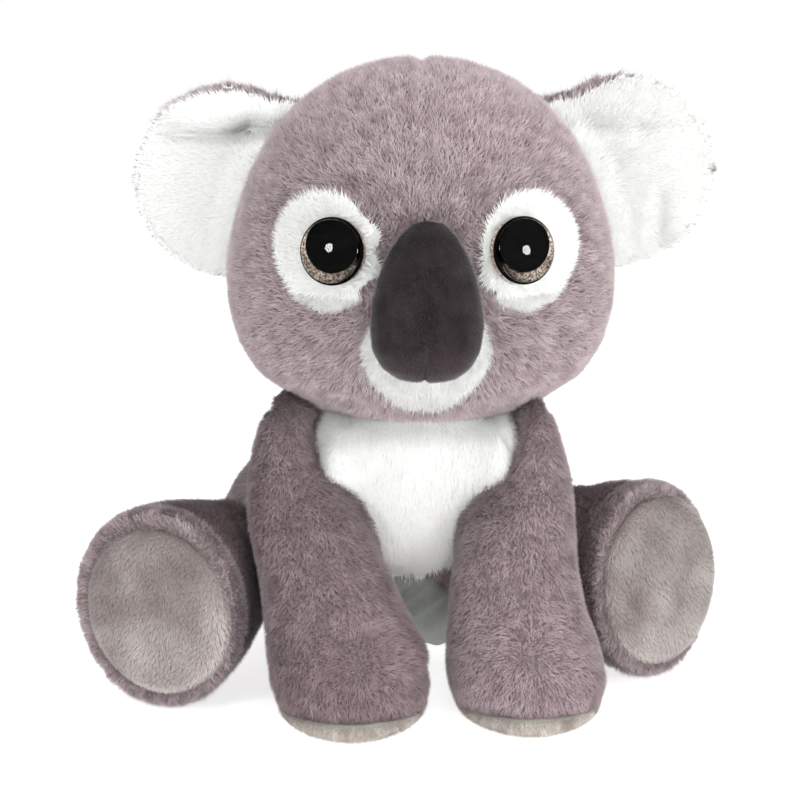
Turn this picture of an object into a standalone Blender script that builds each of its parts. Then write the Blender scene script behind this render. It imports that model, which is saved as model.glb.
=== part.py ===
"""Plush koala, sitting on its seat with both front paws down and its hind feet forward.

Each stuffed form (head, trunk, arm, leg, ear, nose) is one rounded loft. Its cloth is the
form's shell, cut into the sewn panels, and its filling is the same form moved inwards.
Limbs are cut where they are sewn on, so that each one can swing about its seam.
Metres, +Z up, the toy faces -Y. Left and right are as seen from the front.
"""

from math import atan2, cos, hypot, radians, sin

import bmesh
import bpy
import numpy as np
from mathutils import Matrix, Vector

# Driving dimensions of the whole toy
sitting_height = 0.300
neck_height = 0.137
head_right_of_middle = 0.0084  # the neck's axis from the middle of the toy's outline
head_before_middle = 0.0010
cloth = 0.0020  # plush backing and the packed part of its pile
velour = 0.0010  # thinner cloth of the nose
seam_gap = 0.0003  # between two pieces sewn or laid together
floor_flat = 0.0005  # how far the forms that carry the toy are pressed flat
cutter_reach = 0.400  # longer than the toy, for every cutter that passes through it
outline_segments = 32  # sides of a round cutter
round_ends = (2, 2)  # bluntness of a form's low and high end: 2 is round, more is blunter

# Head
head_half_width = 0.0925
head_half_depth = 0.0760
head_set_forward = 0.0040
head_below_neck = 0.0070  # how far the form would run on below the flat neck
face_turn = radians(2)  # the face looks a little to the right
head_swing = 15  # degrees each way
head_segments = 24
head_rings = 13
# height, width, depth, side lean, forward lean
head_shares = (
    (0.00, 1.36, 1.36, 0, 0),
    (0.12, 1.27, 1.22, 0, 0),
    (0.21, 1.15, 1.11, 0, 0),
    (0.40, 1.02, 1.02, 0, 0),
    (0.64, 0.94, 0.97, 0, 0),
    (0.86, 0.94, 0.94, 0, 0),
    (1.00, 0.96, 0.94, 0, 0),
)

# Trunk: pear-shaped, wide seat well behind the paws, leaning forward to the neck
trunk_half_width = 0.0900
trunk_half_depth = 0.0650
trunk_above_neck = 0.0130
trunk_side_lean = -0.0120
trunk_seat_back = 0.0520
trunk_segments = 24
trunk_rings = 12
trunk_bluntness = (2.2, 2.2)
trunk_shares = (
    (0.00, 1.20, 1.10, 1.00, 1.00),
    (0.14, 1.19, 1.16, 1.00, 0.92),
    (0.33, 1.04, 1.04, 1.00, 0.67),
    (0.50, 0.98, 0.97, 1.00, 0.46),
    (0.67, 0.92, 0.88, 0.60, 0.23),
    (0.80, 0.87, 0.88, 0.25, 0.08),
    (0.91, 0.89, 1.02, 0.00, 0.00),
    (1.00, 0.90, 1.05, 0.00, 0.00),
)
chest_half_width = 0.0475
chest_half_height = 0.0500
chest_below_neck = 0.0290
chest_side = -0.0020
seat_half_width = 0.0400
seat_half_height = 0.0560
seat_aim_height = 0.0500  # where the seat panel's middle line starts inside the trunk
seat_aim_back = 0.0300
seat_slope = radians(50)  # that line points forward and down by this angle

# Arms: soft tubes that swell into big paws, one leaning out and one nearly upright
arm_top_above_neck = 0.0020
arm_segments = 18
arm_rings = 12
arm_bluntness = (8, 2.5)
arm_sole_height = 0.0080
arm_swing = 25
# height, width, depth, side lean, backward lean
arm_left_shares = (
    (0.00, 1.00, 1.00, 0.00, 0.00),
    (0.06, 1.02, 1.01, 0.02, 0.00),
    (0.12, 1.02, 1.02, 0.04, 0.00),
    (0.20, 1.00, 1.00, 0.09, 0.02),
    (0.28, 0.95, 0.94, 0.19, 0.06),
    (0.38, 0.85, 0.82, 0.33, 0.16),
    (0.48, 0.79, 0.73, 0.46, 0.27),
    (0.57, 0.76, 0.70, 0.61, 0.38),
    (0.71, 0.67, 0.63, 0.82, 0.57),
    (0.87, 0.60, 0.62, 0.97, 0.83),
    (1.00, 0.68, 0.72, 1.00, 1.00),
)
arm_right_shares = (
    (0.00, 1.00, 1.00, 0.00, 0.00),
    (0.06, 1.02, 1.01, -0.10, 0.00),
    (0.12, 1.02, 1.02, -0.25, 0.00),
    (0.20, 1.00, 1.00, -0.60, 0.02),
    (0.28, 0.95, 0.94, -1.05, 0.06),
    (0.38, 0.86, 0.82, -1.60, 0.16),
    (0.48, 0.81, 0.73, -1.70, 0.27),
    (0.57, 0.76, 0.70, -1.35, 0.38),
    (0.71, 0.67, 0.63, -0.50, 0.57),
    (0.87, 0.60, 0.62, 0.60, 0.83),
    (1.00, 0.68, 0.72, 1.00, 1.00),
)
arm_half_width = 0.0376
arm_half_depth = 0.0335
arm_left_paw_x = -0.0310
arm_left_paw_y = -0.0690
arm_left_lean_x = -0.0330
arm_left_lean_y = 0.0430
arm_right_paw_x = 0.0500
arm_right_paw_y = -0.0620
arm_right_lean_x = 0.0040
arm_right_lean_y = 0.0360
shoulder_below_neck = 0.0110
shoulder_forward = 0.0180

# Legs: short tubes with a flat oval sole, lying on the floor and pointing outwards
leg_length = 0.1060
leg_half_width = 0.0440
leg_half_height = 0.0485
leg_segments = 20
leg_rings = 11
leg_bluntness = (2.5, 6)
leg_ball_share = 0.16  # of the length, from the sole back to the ring that stands on the floor
leg_sole_depth = 0.0040
leg_swing = 14
leg_root_rise = 0.0050
leg_shares = (
    (0.00, 0.66, 0.64, 0, 1.00),
    (0.20, 0.68, 0.66, 0, 1.00),
    (0.40, 0.76, 0.74, 0, 0.80),
    (0.60, 0.88, 0.88, 0, 0.40),
    (0.78, 1.00, 1.00, 0, 0.10),
    (0.90, 1.04, 1.03, 0, 0.00),
    (0.97, 1.07, 1.06, 0, 0.00),
    (1.00, 1.10, 1.08, 0, 0.00),
)
leg_left_sole_x = -0.1268
leg_left_sole_y = -0.0605
leg_left_yaw = radians(26)
leg_left_lift = radians(0)
leg_left_reach = 0.0660  # from the sole back to the hip
leg_right_sole_x = 0.1185
leg_right_sole_y = -0.0130
leg_right_yaw = radians(43)
leg_right_lift = radians(6)
leg_right_reach = 0.0560
hip_rise = 0.0300

# Ears: round flat pillows sewn into the side seam of the head
ear_radius = 0.0480
ear_half_thickness = 0.0080
ear_back = 0.0080
ear_segments = 20
ear_rings = 6
ear_swing = 12
ear_shares = ((0.00, 1, 1, 0, 0), (0.50, 1, 1, 0, 0), (1.00, 1, 1, 0, 0))
ear_left_x = -0.0900
ear_left_above_neck = 0.1030
ear_right_x = 0.0935
ear_right_above_neck = 0.1080
ear_seam_top_x = 0.0600
ear_seam_top_above_neck = 0.1400
ear_seam_low_x = 0.0900
ear_seam_low_above_neck = 0.0580

# Face
nose_height = 0.0735
nose_above_neck = 0.0225
nose_half_width = 0.0245
nose_half_depth = 0.0190
nose_back = 0.0765
nose_segments = 18
nose_rings = 10
nose_bluntness = (3, 2.3)
nose_shares = (
    (0.00, 1.02, 1.02, 0, 0),
    (0.30, 1.06, 1.04, 0, 0),
    (0.60, 0.98, 0.98, 0, 0),
    (0.85, 0.84, 0.90, 0, 0),
    (1.00, 0.76, 0.84, 0, 0),
)
patch_half_width = 0.0250
patch_half_height = 0.0280
patch_side = 0.0460
muzzle_half_width = 0.0290
muzzle_half_height = 0.0290
muzzle_above_neck = 0.0340
eye_radius = 0.0150
eye_side = 0.0415
eye_above_neck = 0.0810  # also of the patch round it
eye_base_above = 0.0022  # front of the glitter disc above the cloth
eye_base_below = 0.0060  # long enough for the cloth's curve to be cut out of its back
lens_height = 0.0060
lens_rim = 0.0006
shank_radius = 0.0028
shank_length = 0.0130
washer_radius = 0.0100
washer_thickness = 0.0015
washer_bow_room = 0.0020  # room for the cloth's curve over the flat washer
eye_steps = 20
lens_rings = 5


def collection(name):
    made = bpy.data.collections.new(name)
    bpy.context.scene.collection.children.link(made)
    return made


def material(name, red, green, blue, roughness):
    made = bpy.data.materials.new(name)
    made.use_nodes = True
    shader = made.node_tree.nodes["Principled BSDF"]
    shader.inputs["Base Color"].default_value = (red, green, blue, 1)
    shader.inputs["Roughness"].default_value = roughness
    shader.inputs["Metallic"].default_value = 0
    return made


def smooth_rows(shares, height):
    """The shares at a height between the table's rows, on a smooth curve through them."""
    rows = np.array(shares, float)
    at = rows[:, 0]
    slopes = np.gradient(rows[:, 1:], at, axis=0)
    row = int(np.clip(np.searchsorted(at, height, "right") - 1, 0, len(at) - 2))
    step = at[row + 1] - at[row]
    t = (height - at[row]) / step
    low, high = rows[row, 1:], rows[row + 1, 1:]
    return (
        (2 * t**3 - 3 * t**2 + 1) * low
        + (t**3 - 2 * t**2 + t) * step * slopes[row]
        + (3 * t**2 - 2 * t**3) * high
        + (t**3 - t**2) * step * slopes[row + 1]
    )


class Form:
    """A rounded loft: a sphere whose rings take the widths, depths and leans of a table."""

    def __init__(self, height, half_width, half_depth, shares, bluntness, lean, matrix, mesh):
        self.height = height
        self.half_width = half_width
        self.half_depth = half_depth
        self.shares = shares
        self.bluntness = bluntness
        self.lean = lean
        self.matrix = matrix
        self.segments, self.rings = mesh

    def ring(self, height_share):
        """Centre and half sizes of the section at this share of the height."""
        width, depth, lean_x, lean_y = smooth_rows(self.shares, height_share)
        across = abs(2 * height_share - 1)
        blunt = self.bluntness[int(height_share > 0.5)]
        swell = max(1 - across**blunt, 0) ** (1 / blunt)
        return (
            lean_x * self.lean[0],
            lean_y * self.lean[1],
            swell * width * self.half_width,
            swell * depth * self.half_depth,
        )

    def front(self, x, height):
        """The point of the surface that faces -Y at this side place and height."""
        lean_x, lean_y, wide, deep = self.ring(height / self.height)
        out = max(1 - ((x - lean_x) / wide) ** 2, 0) ** 0.5
        return self.matrix @ Vector((x, lean_y - deep * out, height))

    def mesh(self, name, grow, segments):
        """The closed form, moved outwards by grow along its own normals."""
        bm = bmesh.new()
        bmesh.ops.create_uvsphere(bm, u_segments=segments, v_segments=self.rings, radius=1)
        for vert in bm.verts:
            x, y, z = vert.co
            lean_x, lean_y, wide, deep = self.ring((z + 1) / 2)
            round_ = hypot(x, y) or 1
            vert.co = (
                lean_x + wide * x / round_,
                lean_y + deep * y / round_,
                self.height * (z + 1) / 2,
            )
        bm.normal_update()
        places = [(vert, vert.co + vert.normal * grow) for vert in bm.verts]
        for vert, place in places:
            vert.co = place
        made = bpy.data.meshes.new(name)
        bm.to_mesh(made)
        bm.free()
        made.shade_smooth()
        return made

    def solid(self, name, where, grow=0):
        return self.placed(self.mesh(name, grow, self.segments), where)

    def filling(self, name, cover):
        """The stuffing inside a cover, on every second line of the form's own mesh."""
        return self.placed(self.mesh(name, -cover - seam_gap, self.segments // 2), plush)

    def placed(self, data, where):
        made = bpy.data.objects.new(data.name, data)
        made.matrix_world = self.matrix
        where.objects.link(made)
        return made


def as_cutter(made):
    made.hide_render = True
    made.display_type = "WIRE"
    return made


def cut(piece, cutter, operation="DIFFERENCE"):
    step = piece.modifiers.new(operation.title() + " " + cutter.name, "BOOLEAN")
    step.operation = operation
    step.object = cutter
    step.solver = "EXACT"


def group(name, members=()):
    """A collection of cutters that cut in one step."""
    made = bpy.data.collections.new(name)
    cutters.children.link(made)
    for member in members:
        made.objects.link(member)
    return made


def cut_all(piece, together):
    step = piece.modifiers.new("Difference " + together.name, "BOOLEAN")
    step.operand_type = "COLLECTION"
    step.collection = together
    step.solver = "EXACT"


def hollow(piece, thickness):
    """Leave only the cloth: a shell of this thickness inside the form's surface."""
    step = piece.modifiers.new("Cloth", "SOLIDIFY")
    step.thickness = thickness
    step.offset = -1


def block(name, centre, half_sizes, turn=None):
    """A rectangular cutter."""
    bm = bmesh.new()
    bmesh.ops.create_cube(bm, size=2)
    bmesh.ops.scale(bm, vec=half_sizes, verts=bm.verts)
    data = bpy.data.meshes.new(name)
    bm.to_mesh(data)
    bm.free()
    made = bpy.data.objects.new(name, data)
    made.matrix_world = Matrix.Translation(centre) @ (turn or Matrix())
    cutters.objects.link(made)
    return as_cutter(made)


def oval_bar(name, centre, half_x, half_y, half_length, turn):
    """An elliptical cylinder along its own Z axis."""
    bm = bmesh.new()
    bmesh.ops.create_cone(
        bm, cap_ends=True, segments=outline_segments, radius1=1, radius2=1, depth=2
    )
    bmesh.ops.scale(bm, vec=(half_x, half_y, half_length), verts=bm.verts)
    data = bpy.data.meshes.new(name)
    bm.to_mesh(data)
    bm.free()
    made = bpy.data.objects.new(name, data)
    made.matrix_world = Matrix.Translation(centre) @ turn
    cutters.objects.link(made)
    return as_cutter(made)


def turned(name, profile, matrix, where):
    """A turned piece: a profile of (radius, height) from top to bottom, on a Screw."""
    data = bpy.data.meshes.new(name)
    points = [(radius, 0, height) for radius, height in profile]
    data.from_pydata(points, [(i, i + 1) for i in range(len(points) - 1)], [])
    made = bpy.data.objects.new(name, data)
    made.matrix_world = matrix
    where.objects.link(made)
    screw = made.modifiers.new("Turned", "SCREW")
    screw.steps = screw.render_steps = eye_steps
    screw.use_merge_vertices = True
    screw.merge_threshold = cloth / 1000
    return made


def joint(name, place):
    empty = bpy.data.objects.new(name, None)
    empty.location = place
    empty.empty_display_size = eye_radius
    plush.objects.link(empty)
    bpy.context.view_layer.update()
    return empty


def sew(piece, colour, pivot=None):
    """Give a finished piece its cloth or plastic and hang it on its joint."""
    piece.data.materials.append(colour)
    if pivot:
        piece.parent = pivot
        piece.matrix_parent_inverse = pivot.matrix_world.inverted()
    return piece


def swung(place, axis, angle):
    """What stays still, as a limb sees it after it has swung by this many degrees."""
    return (
        Matrix.Translation(place)
        @ Matrix.Rotation(-radians(angle), 4, axis)
        @ Matrix.Translation(-Vector(place))
    )


def swept_cutters(form, name, place, axis, angles):
    """The larger form as the limb meets it at rest and along its swing, with more room each time."""
    made = group(name)
    for count, angle in enumerate(angles, 1):
        one = form.solid(f"{name}_at_{angle}", made, count * seam_gap)
        one.matrix_world = swung(place, axis, angle) @ form.matrix
        as_cutter(one)
    return made


for old in list(bpy.data.objects):
    bpy.data.objects.remove(old, do_unlink=True)
plush = collection("plush_koala")
cutters = collection("cutters")

grey_fur = (0.34, 0.28, 0.285)
white_fur = (0.86, 0.88, 0.86)
sole_grey = (0.31, 0.28, 0.27)

# The four main forms and where they stand
head_height = sitting_height - neck_height + head_below_neck
head = Form(
    head_height,
    head_half_width,
    head_half_depth,
    head_shares,
    round_ends,
    (0, 0),
    Matrix.Rotation(face_turn, 4, "Z")
    @ Matrix.Translation((0, -head_set_forward, neck_height - head_below_neck)),
    (head_segments, head_rings),
)
trunk = Form(
    neck_height + trunk_above_neck + floor_flat,
    trunk_half_width,
    trunk_half_depth,
    trunk_shares,
    trunk_bluntness,
    (trunk_side_lean, trunk_seat_back),
    Matrix.Translation((0, 0, -floor_flat)),
    (trunk_segments, trunk_rings),
)

below_floor = block(
    "below_floor", (0, 0, -cutter_reach), (cutter_reach, cutter_reach, cutter_reach)
)
above_neck = block(
    "above_neck",
    (0, 0, neck_height - seam_gap / 2 + cutter_reach),
    (cutter_reach, cutter_reach, cutter_reach),
)
below_neck = block(
    "below_neck",
    (0, 0, neck_height + seam_gap / 2 - cutter_reach),
    (cutter_reach, cutter_reach, cutter_reach),
)


def halves(name, turn):
    """Cutters that leave the left or the right of a middle seam."""
    size = (cutter_reach, cutter_reach, cutter_reach)
    away = cutter_reach - seam_gap / 2
    return (
        block(name + "_all_right", turn @ Vector((away, 0, 0)), size, turn),
        block(name + "_all_left", turn @ Vector((-away, 0, 0)), size, turn),
    )


def build_trunk():
    forward = Matrix.Rotation(radians(90), 4, "X")
    chest = {}
    seat = {}
    downward = Matrix.Rotation(radians(90) + seat_slope, 4, "X")
    aim = Vector((trunk_side_lean, seat_aim_back, seat_aim_height))
    for edge, wider in (("panel", 0), ("hole", seam_gap)):
        chest[edge] = oval_bar(
            f"chest_outline_{edge}",
            (chest_side, -cutter_reach / 2, neck_height - chest_below_neck),
            chest_half_width + wider,
            chest_half_height + wider,
            cutter_reach / 2,
            forward,
        )
        seat[edge] = oval_bar(
            f"seat_outline_{edge}",
            aim + downward @ Vector((0, 0, cutter_reach / 2)),
            seat_half_width + wider,
            seat_half_height + wider,
            cutter_reach / 2,
            downward,
        )
    all_right, all_left = halves("trunk", Matrix.Translation((trunk_side_lean / 2, 0, 0)))
    fur = material("trunk_fur", *grey_fur, 0.95)
    for name, other_half in (("trunk_left", all_right), ("trunk_right", all_left)):
        side = trunk.solid(name, plush)
        hollow(side, cloth)
        round_it = (above_neck, below_floor, other_half, chest["hole"], seat["hole"])
        cut_all(side, group(f"{name}_edges", round_it))
        sew(side, fur)
    panel = trunk.solid("chest_panel", plush)
    hollow(panel, cloth)
    cut(panel, chest["panel"], "INTERSECT")
    cut(panel, above_neck)
    sew(panel, material("chest_fur", *white_fur, 0.95))
    panel = trunk.solid("seat_panel", plush)
    hollow(panel, cloth)
    cut(panel, seat["panel"], "INTERSECT")
    cut_all(panel, group("seat_panel_edges", (below_floor, chest["hole"])))
    sew(panel, material("seat_cloth", 0.16, 0.175, 0.165, 0.9))
    filling = trunk.filling("trunk_filling", cloth)
    cut(filling, above_neck)
    sew(filling, material("trunk_fibre", 0.85, 0.85, 0.83, 1))


def eye_matrix(side):
    """On the face's surface at the eye, with Z along the surface's own normal."""
    x = side * eye_side
    low = eye_above_neck + head_below_neck
    near = eye_radius / 2
    here = head.front(x, low)
    across = head.front(x + near, low) - head.front(x - near, low)
    upward = head.front(x, low + near) - head.front(x, low - near)
    normal = across.cross(upward).normalized()
    across = upward.cross(normal).normalized()
    upward = normal.cross(across)
    turn = Matrix((across, upward, normal)).transposed().to_4x4()
    return Matrix.Translation(here) @ turn


def build_eye(side, name, neck, head_cutter):
    """Glitter disc with its shank, clear dome in front, washer behind the cloth."""
    at = eye_matrix(side)
    rotation = at.to_3x3().to_4x4()
    disc = turned(
        f"eye_disc_{name}",
        [(0, eye_base_above), (eye_radius, eye_base_above), (eye_radius, -eye_base_below),
         (0, -eye_base_below)],
        at,
        plush,
    )
    cut(disc, head_cutter)
    half_shank = (shank_length + eye_base_above / 2) / 2
    shank = oval_bar(
        f"shank_{name}",
        at @ Vector((0, 0, eye_base_above / 2 - half_shank)),
        shank_radius,
        shank_radius,
        half_shank,
        rotation,
    )
    cut(disc, shank, "UNION")
    sew(disc, material(f"eye_glitter_{name}", 0.35, 0.29, 0.24, 0.35), neck)
    start = eye_base_above + seam_gap
    dome = [
        (
            eye_radius * sin(radians(90) * step / lens_rings),
            start + lens_rim + (lens_height - lens_rim) * cos(radians(90) * step / lens_rings),
        )
        for step in range(lens_rings + 1)
    ]
    lens = turned(f"eye_lens_{name}", dome + [(eye_radius, start), (0, start)], at, plush)
    sew(lens, material(f"eye_clear_{name}", 0.01, 0.01, 0.01, 0.05), neck)
    top = -cloth - seam_gap - washer_bow_room
    inner = shank_radius + seam_gap
    low = top - washer_thickness
    washer = turned(
        f"eye_washer_{name}",
        [(inner, top), (washer_radius, top), (washer_radius, low), (inner, low), (inner, top)],
        at,
        plush,
    )
    sew(washer, material(f"washer_plastic_{name}", 0.8, 0.8, 0.78, 0.5), neck)
    hole = oval_bar(
        f"shank_hole_{name}", at.translation, inner, inner, shank_length + seam_gap, rotation
    )
    pocket = oval_bar(
        f"washer_pocket_{name}",
        at.translation,
        washer_radius + seam_gap,
        washer_radius + seam_gap,
        -low + seam_gap,
        rotation,
    )
    return hole, pocket


def build_nose(neck, head_cutter):
    nose = Form(
        nose_height,
        nose_half_width,
        nose_half_depth,
        nose_shares,
        nose_bluntness,
        (0, 0),
        Matrix.Rotation(face_turn, 4, "Z")
        @ Matrix.Translation((0, -nose_back, neck_height + nose_above_neck)),
        (nose_segments, nose_rings),
    )
    cover = nose.solid("nose_cover", plush)
    hollow(cover, velour)
    cut(cover, head_cutter)
    sew(cover, material("nose_velour", 0.07, 0.055, 0.06, 0.85), neck)
    stuffing = nose.filling("nose_filling", velour)
    cut(stuffing, head_cutter)
    sew(stuffing, material("nose_fibre", 0.85, 0.85, 0.83, 1), neck)


def build_head():
    neck = joint("neck_joint", (0, 0, neck_height))
    facing = Matrix.Rotation(face_turn, 4, "Z")
    forward = facing @ Matrix.Rotation(radians(90), 4, "X")
    head_cutter = as_cutter(head.solid("head_form", cutters, seam_gap))
    ovals = {}
    for name, x, above_neck, half_x, half_y in (
        ("eye_patch_left", -patch_side, eye_above_neck, patch_half_width, patch_half_height),
        ("eye_patch_right", patch_side, eye_above_neck, patch_half_width, patch_half_height),
        ("muzzle_patch", 0, muzzle_above_neck, muzzle_half_width, muzzle_half_height),
    ):
        for edge, wider in (("panel", 0), ("hole", seam_gap)):
            ovals[name, edge] = oval_bar(
                f"{name}_outline_{edge}",
                facing @ Vector((x, -cutter_reach / 2, neck_height + above_neck)),
                half_x + wider,
                half_y + wider,
                cutter_reach / 2,
                forward,
            )
    all_right, all_left = halves("head", facing)
    fur = material("head_fur", *grey_fur, 0.95)
    for name, other_half in (("head_left", all_right), ("head_right", all_left)):
        side = head.solid(name, plush)
        hollow(side, cloth)
        patch_hole = ovals[name.replace("head", "eye_patch"), "hole"]
        round_it = (below_neck, other_half, ovals["muzzle_patch", "hole"], patch_hole)
        cut_all(side, group(f"{name}_edges", round_it))
        sew(side, fur, neck)
    filling = head.filling("head_filling", cloth)
    cut(filling, below_neck)
    white = material("face_fur", *white_fur, 0.95)
    muzzle = head.solid("muzzle_patch", plush)
    hollow(muzzle, cloth)
    cut(muzzle, ovals["muzzle_patch", "panel"], "INTERSECT")
    sew(muzzle, white, neck)
    for side, name in ((-1, "left"), (1, "right")):
        hole, pocket = build_eye(side, name, neck, head_cutter)
        patch = head.solid(f"eye_patch_{name}", plush)
        hollow(patch, cloth)
        cut(patch, ovals[f"eye_patch_{name}", "panel"], "INTERSECT")
        cut(patch, hole)
        sew(patch, white, neck)
        cut(filling, pocket)
        cut(filling, hole)
    sew(filling, material("head_fibre", 0.85, 0.85, 0.83, 1), neck)
    build_nose(neck, head_cutter)
    return neck


def build_arm(name, shares, paw_x, paw_y, lean_x, lean_y):
    """Fur tube and paw, pale sole under it, filling inside."""
    form = Form(
        neck_height + arm_top_above_neck + floor_flat,
        arm_half_width,
        arm_half_depth,
        shares,
        arm_bluntness,
        (lean_x, lean_y),
        Matrix.Translation((paw_x, paw_y, -floor_flat)),
        (arm_segments, arm_rings),
    )
    place = (paw_x + lean_x, -shoulder_forward, neck_height - shoulder_below_neck)
    shoulder = joint(f"shoulder_{name}_joint", place)
    larger = swept_cutters(
        trunk, f"trunk_for_arm_{name}", place, "X", (0, -arm_swing / 2, -arm_swing)
    )
    reach = (cutter_reach, cutter_reach, cutter_reach)
    # The shoulder slopes down forwards, so that the raised arm stays under the head
    under_head = block(
        f"head_over_arm_{name}", (0, 0, neck_height - seam_gap + cutter_reach), reach
    )
    under_head.matrix_world = swung(place, "X", -arm_swing) @ under_head.matrix_world
    larger.objects.link(under_head)
    below_seam = block(
        f"arm_{name}_below_seam", (0, 0, arm_sole_height + seam_gap / 2 - cutter_reach), reach
    )
    above_seam = block(
        f"arm_{name}_above_seam", (0, 0, arm_sole_height - seam_gap / 2 + cutter_reach), reach
    )
    skin = form.solid(f"arm_{name}", plush)
    hollow(skin, cloth)
    cut(skin, below_seam)
    sole = form.solid(f"paw_sole_{name}", plush)
    hollow(sole, cloth)
    cut(sole, above_seam)
    cut(sole, below_floor)
    filling = form.filling(f"arm_filling_{name}", cloth)
    cut_all(skin, larger)
    cut_all(filling, larger)
    sew(skin, material(f"arm_fur_{name}", *grey_fur, 0.95), shoulder)
    sew(sole, material(f"paw_sole_cloth_{name}", 0.40, 0.40, 0.36, 0.9), shoulder)
    sew(filling, material(f"arm_fibre_{name}", 0.85, 0.85, 0.83, 1), shoulder)


def leg_axes(side, yaw, lift):
    """Across, up and out along a leg that points forward and outwards."""
    out = Vector((side * sin(yaw) * cos(lift), -cos(yaw) * cos(lift), sin(lift)))
    across = Vector((0, 0, 1)).cross(out).normalized()
    return across, out.cross(across), out


def build_leg(name, side, sole_x, sole_y, yaw, lift, reach):
    """Fur tube lying on the floor, oval sole at its end, filling inside."""
    across, upward, out = leg_axes(side, yaw, lift)
    turn = Matrix((across, upward, out)).transposed().to_4x4()
    # The tube's thickest ring stands on the floor, so its height follows from the lift
    ball = leg_length * leg_ball_share
    sole_height = leg_half_height * cos(lift) + ball * sin(lift) - floor_flat
    sole_at = Vector((sole_x, sole_y, sole_height))
    root = sole_at - out * leg_length
    form = Form(
        leg_length,
        leg_half_width,
        leg_half_height,
        leg_shares,
        leg_bluntness,
        (0, leg_root_rise),
        Matrix.Translation(root) @ turn,
        (leg_segments, leg_rings),
    )
    place = sole_at - out * reach + upward * hip_rise
    hip = joint(f"hip_{name}_joint", place)
    axis = out.cross(Vector((0, 0, 1))).normalized()
    larger = swept_cutters(
        trunk, f"trunk_for_leg_{name}", place, axis, (0, leg_swing / 2, leg_swing)
    )
    size = (cutter_reach, cutter_reach, cutter_reach)
    seam = sole_at - out * leg_sole_depth
    past_seam = block(
        f"leg_{name}_past_seam", seam + out * (cutter_reach - seam_gap / 2), size, turn
    )
    behind_seam = block(
        f"leg_{name}_behind_seam", seam - out * (cutter_reach - seam_gap / 2), size, turn
    )
    skin = form.solid(f"leg_{name}", plush)
    hollow(skin, cloth)
    cut(skin, past_seam)
    cut(skin, below_floor)
    sole = form.solid(f"foot_sole_{name}", plush)
    hollow(sole, cloth)
    cut(sole, behind_seam)
    filling = form.filling(f"leg_filling_{name}", cloth)
    cut_all(skin, larger)
    cut_all(filling, larger)
    sew(skin, material(f"leg_fur_{name}", *grey_fur, 0.95), hip)
    sew(sole, material(f"foot_sole_cloth_{name}", *sole_grey, 0.9), hip)
    sew(filling, material(f"leg_fibre_{name}", 0.85, 0.85, 0.83, 1), hip)


def build_ear(name, side, x, above_neck, neck):
    """White front, grey back and thin wadding, sewn in along a slanting seam."""
    flat = Matrix.Rotation(radians(90), 4, "X")
    form = Form(
        2 * ear_half_thickness,
        ear_radius,
        ear_radius,
        ear_shares,
        round_ends,
        (0, 0),
        Matrix.Translation((x, ear_back + ear_half_thickness, neck_height + above_neck)) @ flat,
        (ear_segments, ear_rings),
    )
    top = Vector((side * ear_seam_top_x, ear_back, neck_height + ear_seam_top_above_neck))
    low = Vector((side * ear_seam_low_x, ear_back, neck_height + ear_seam_low_above_neck))
    place = (top + low) / 2
    axis = (top - low).normalized()
    seam = joint(f"ear_{name}_joint", place)
    seam.parent = neck
    seam.matrix_parent_inverse = neck.matrix_world.inverted()
    bpy.context.view_layer.update()
    larger = swept_cutters(
        head, f"head_for_ear_{name}", place, axis, (0, -ear_swing, ear_swing)
    )
    size = (cutter_reach, cutter_reach, cutter_reach)
    away = cutter_reach - seam_gap / 2
    in_front = block(f"ear_{name}_in_front", (0, ear_back - away, 0), size)
    behind = block(f"ear_{name}_behind", (0, ear_back + away, 0), size)
    front = form.solid(f"ear_front_{name}", plush)
    hollow(front, cloth)
    cut(front, behind)
    back = form.solid(f"ear_back_{name}", plush)
    hollow(back, cloth)
    cut(back, in_front)
    wadding = form.filling(f"ear_wadding_{name}", cloth)
    cut_all(front, larger)
    cut_all(back, larger)
    cut_all(wadding, larger)
    sew(front, material(f"ear_front_fur_{name}", *white_fur, 0.95), seam)
    sew(back, material(f"ear_back_fur_{name}", *grey_fur, 0.95), seam)
    sew(wadding, material(f"ear_fibre_{name}", 0.85, 0.85, 0.83, 1), seam)


build_trunk()
neck = build_head()
build_arm("left", arm_left_shares, arm_left_paw_x, arm_left_paw_y,
          arm_left_lean_x, arm_left_lean_y)
build_arm("right", arm_right_shares, arm_right_paw_x, arm_right_paw_y,
          arm_right_lean_x, arm_right_lean_y)
build_leg("left", -1, leg_left_sole_x, leg_left_sole_y,
          leg_left_yaw, leg_left_lift, leg_left_reach)
build_leg("right", 1, leg_right_sole_x, leg_right_sole_y,
          leg_right_yaw, leg_right_lift, leg_right_reach)
build_ear("left", -1, ear_left_x, ear_left_above_neck, neck)
build_ear("right", 1, ear_right_x, ear_right_above_neck, neck)

# Stand the toy with the middle of its outline over the origin
bpy.context.view_layer.update()
middle = Matrix.Translation((head_right_of_middle, -head_before_middle, 0))
for made in bpy.data.objects:
    if not made.parent:
        made.matrix_world = middle @ made.matrix_world
bpy.context.view_layer.update()
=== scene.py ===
from math import cos, pi, radians, sin

import bmesh
import bpy
import numpy as np
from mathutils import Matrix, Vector
from mathutils.bvhtree import BVHTree


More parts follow.
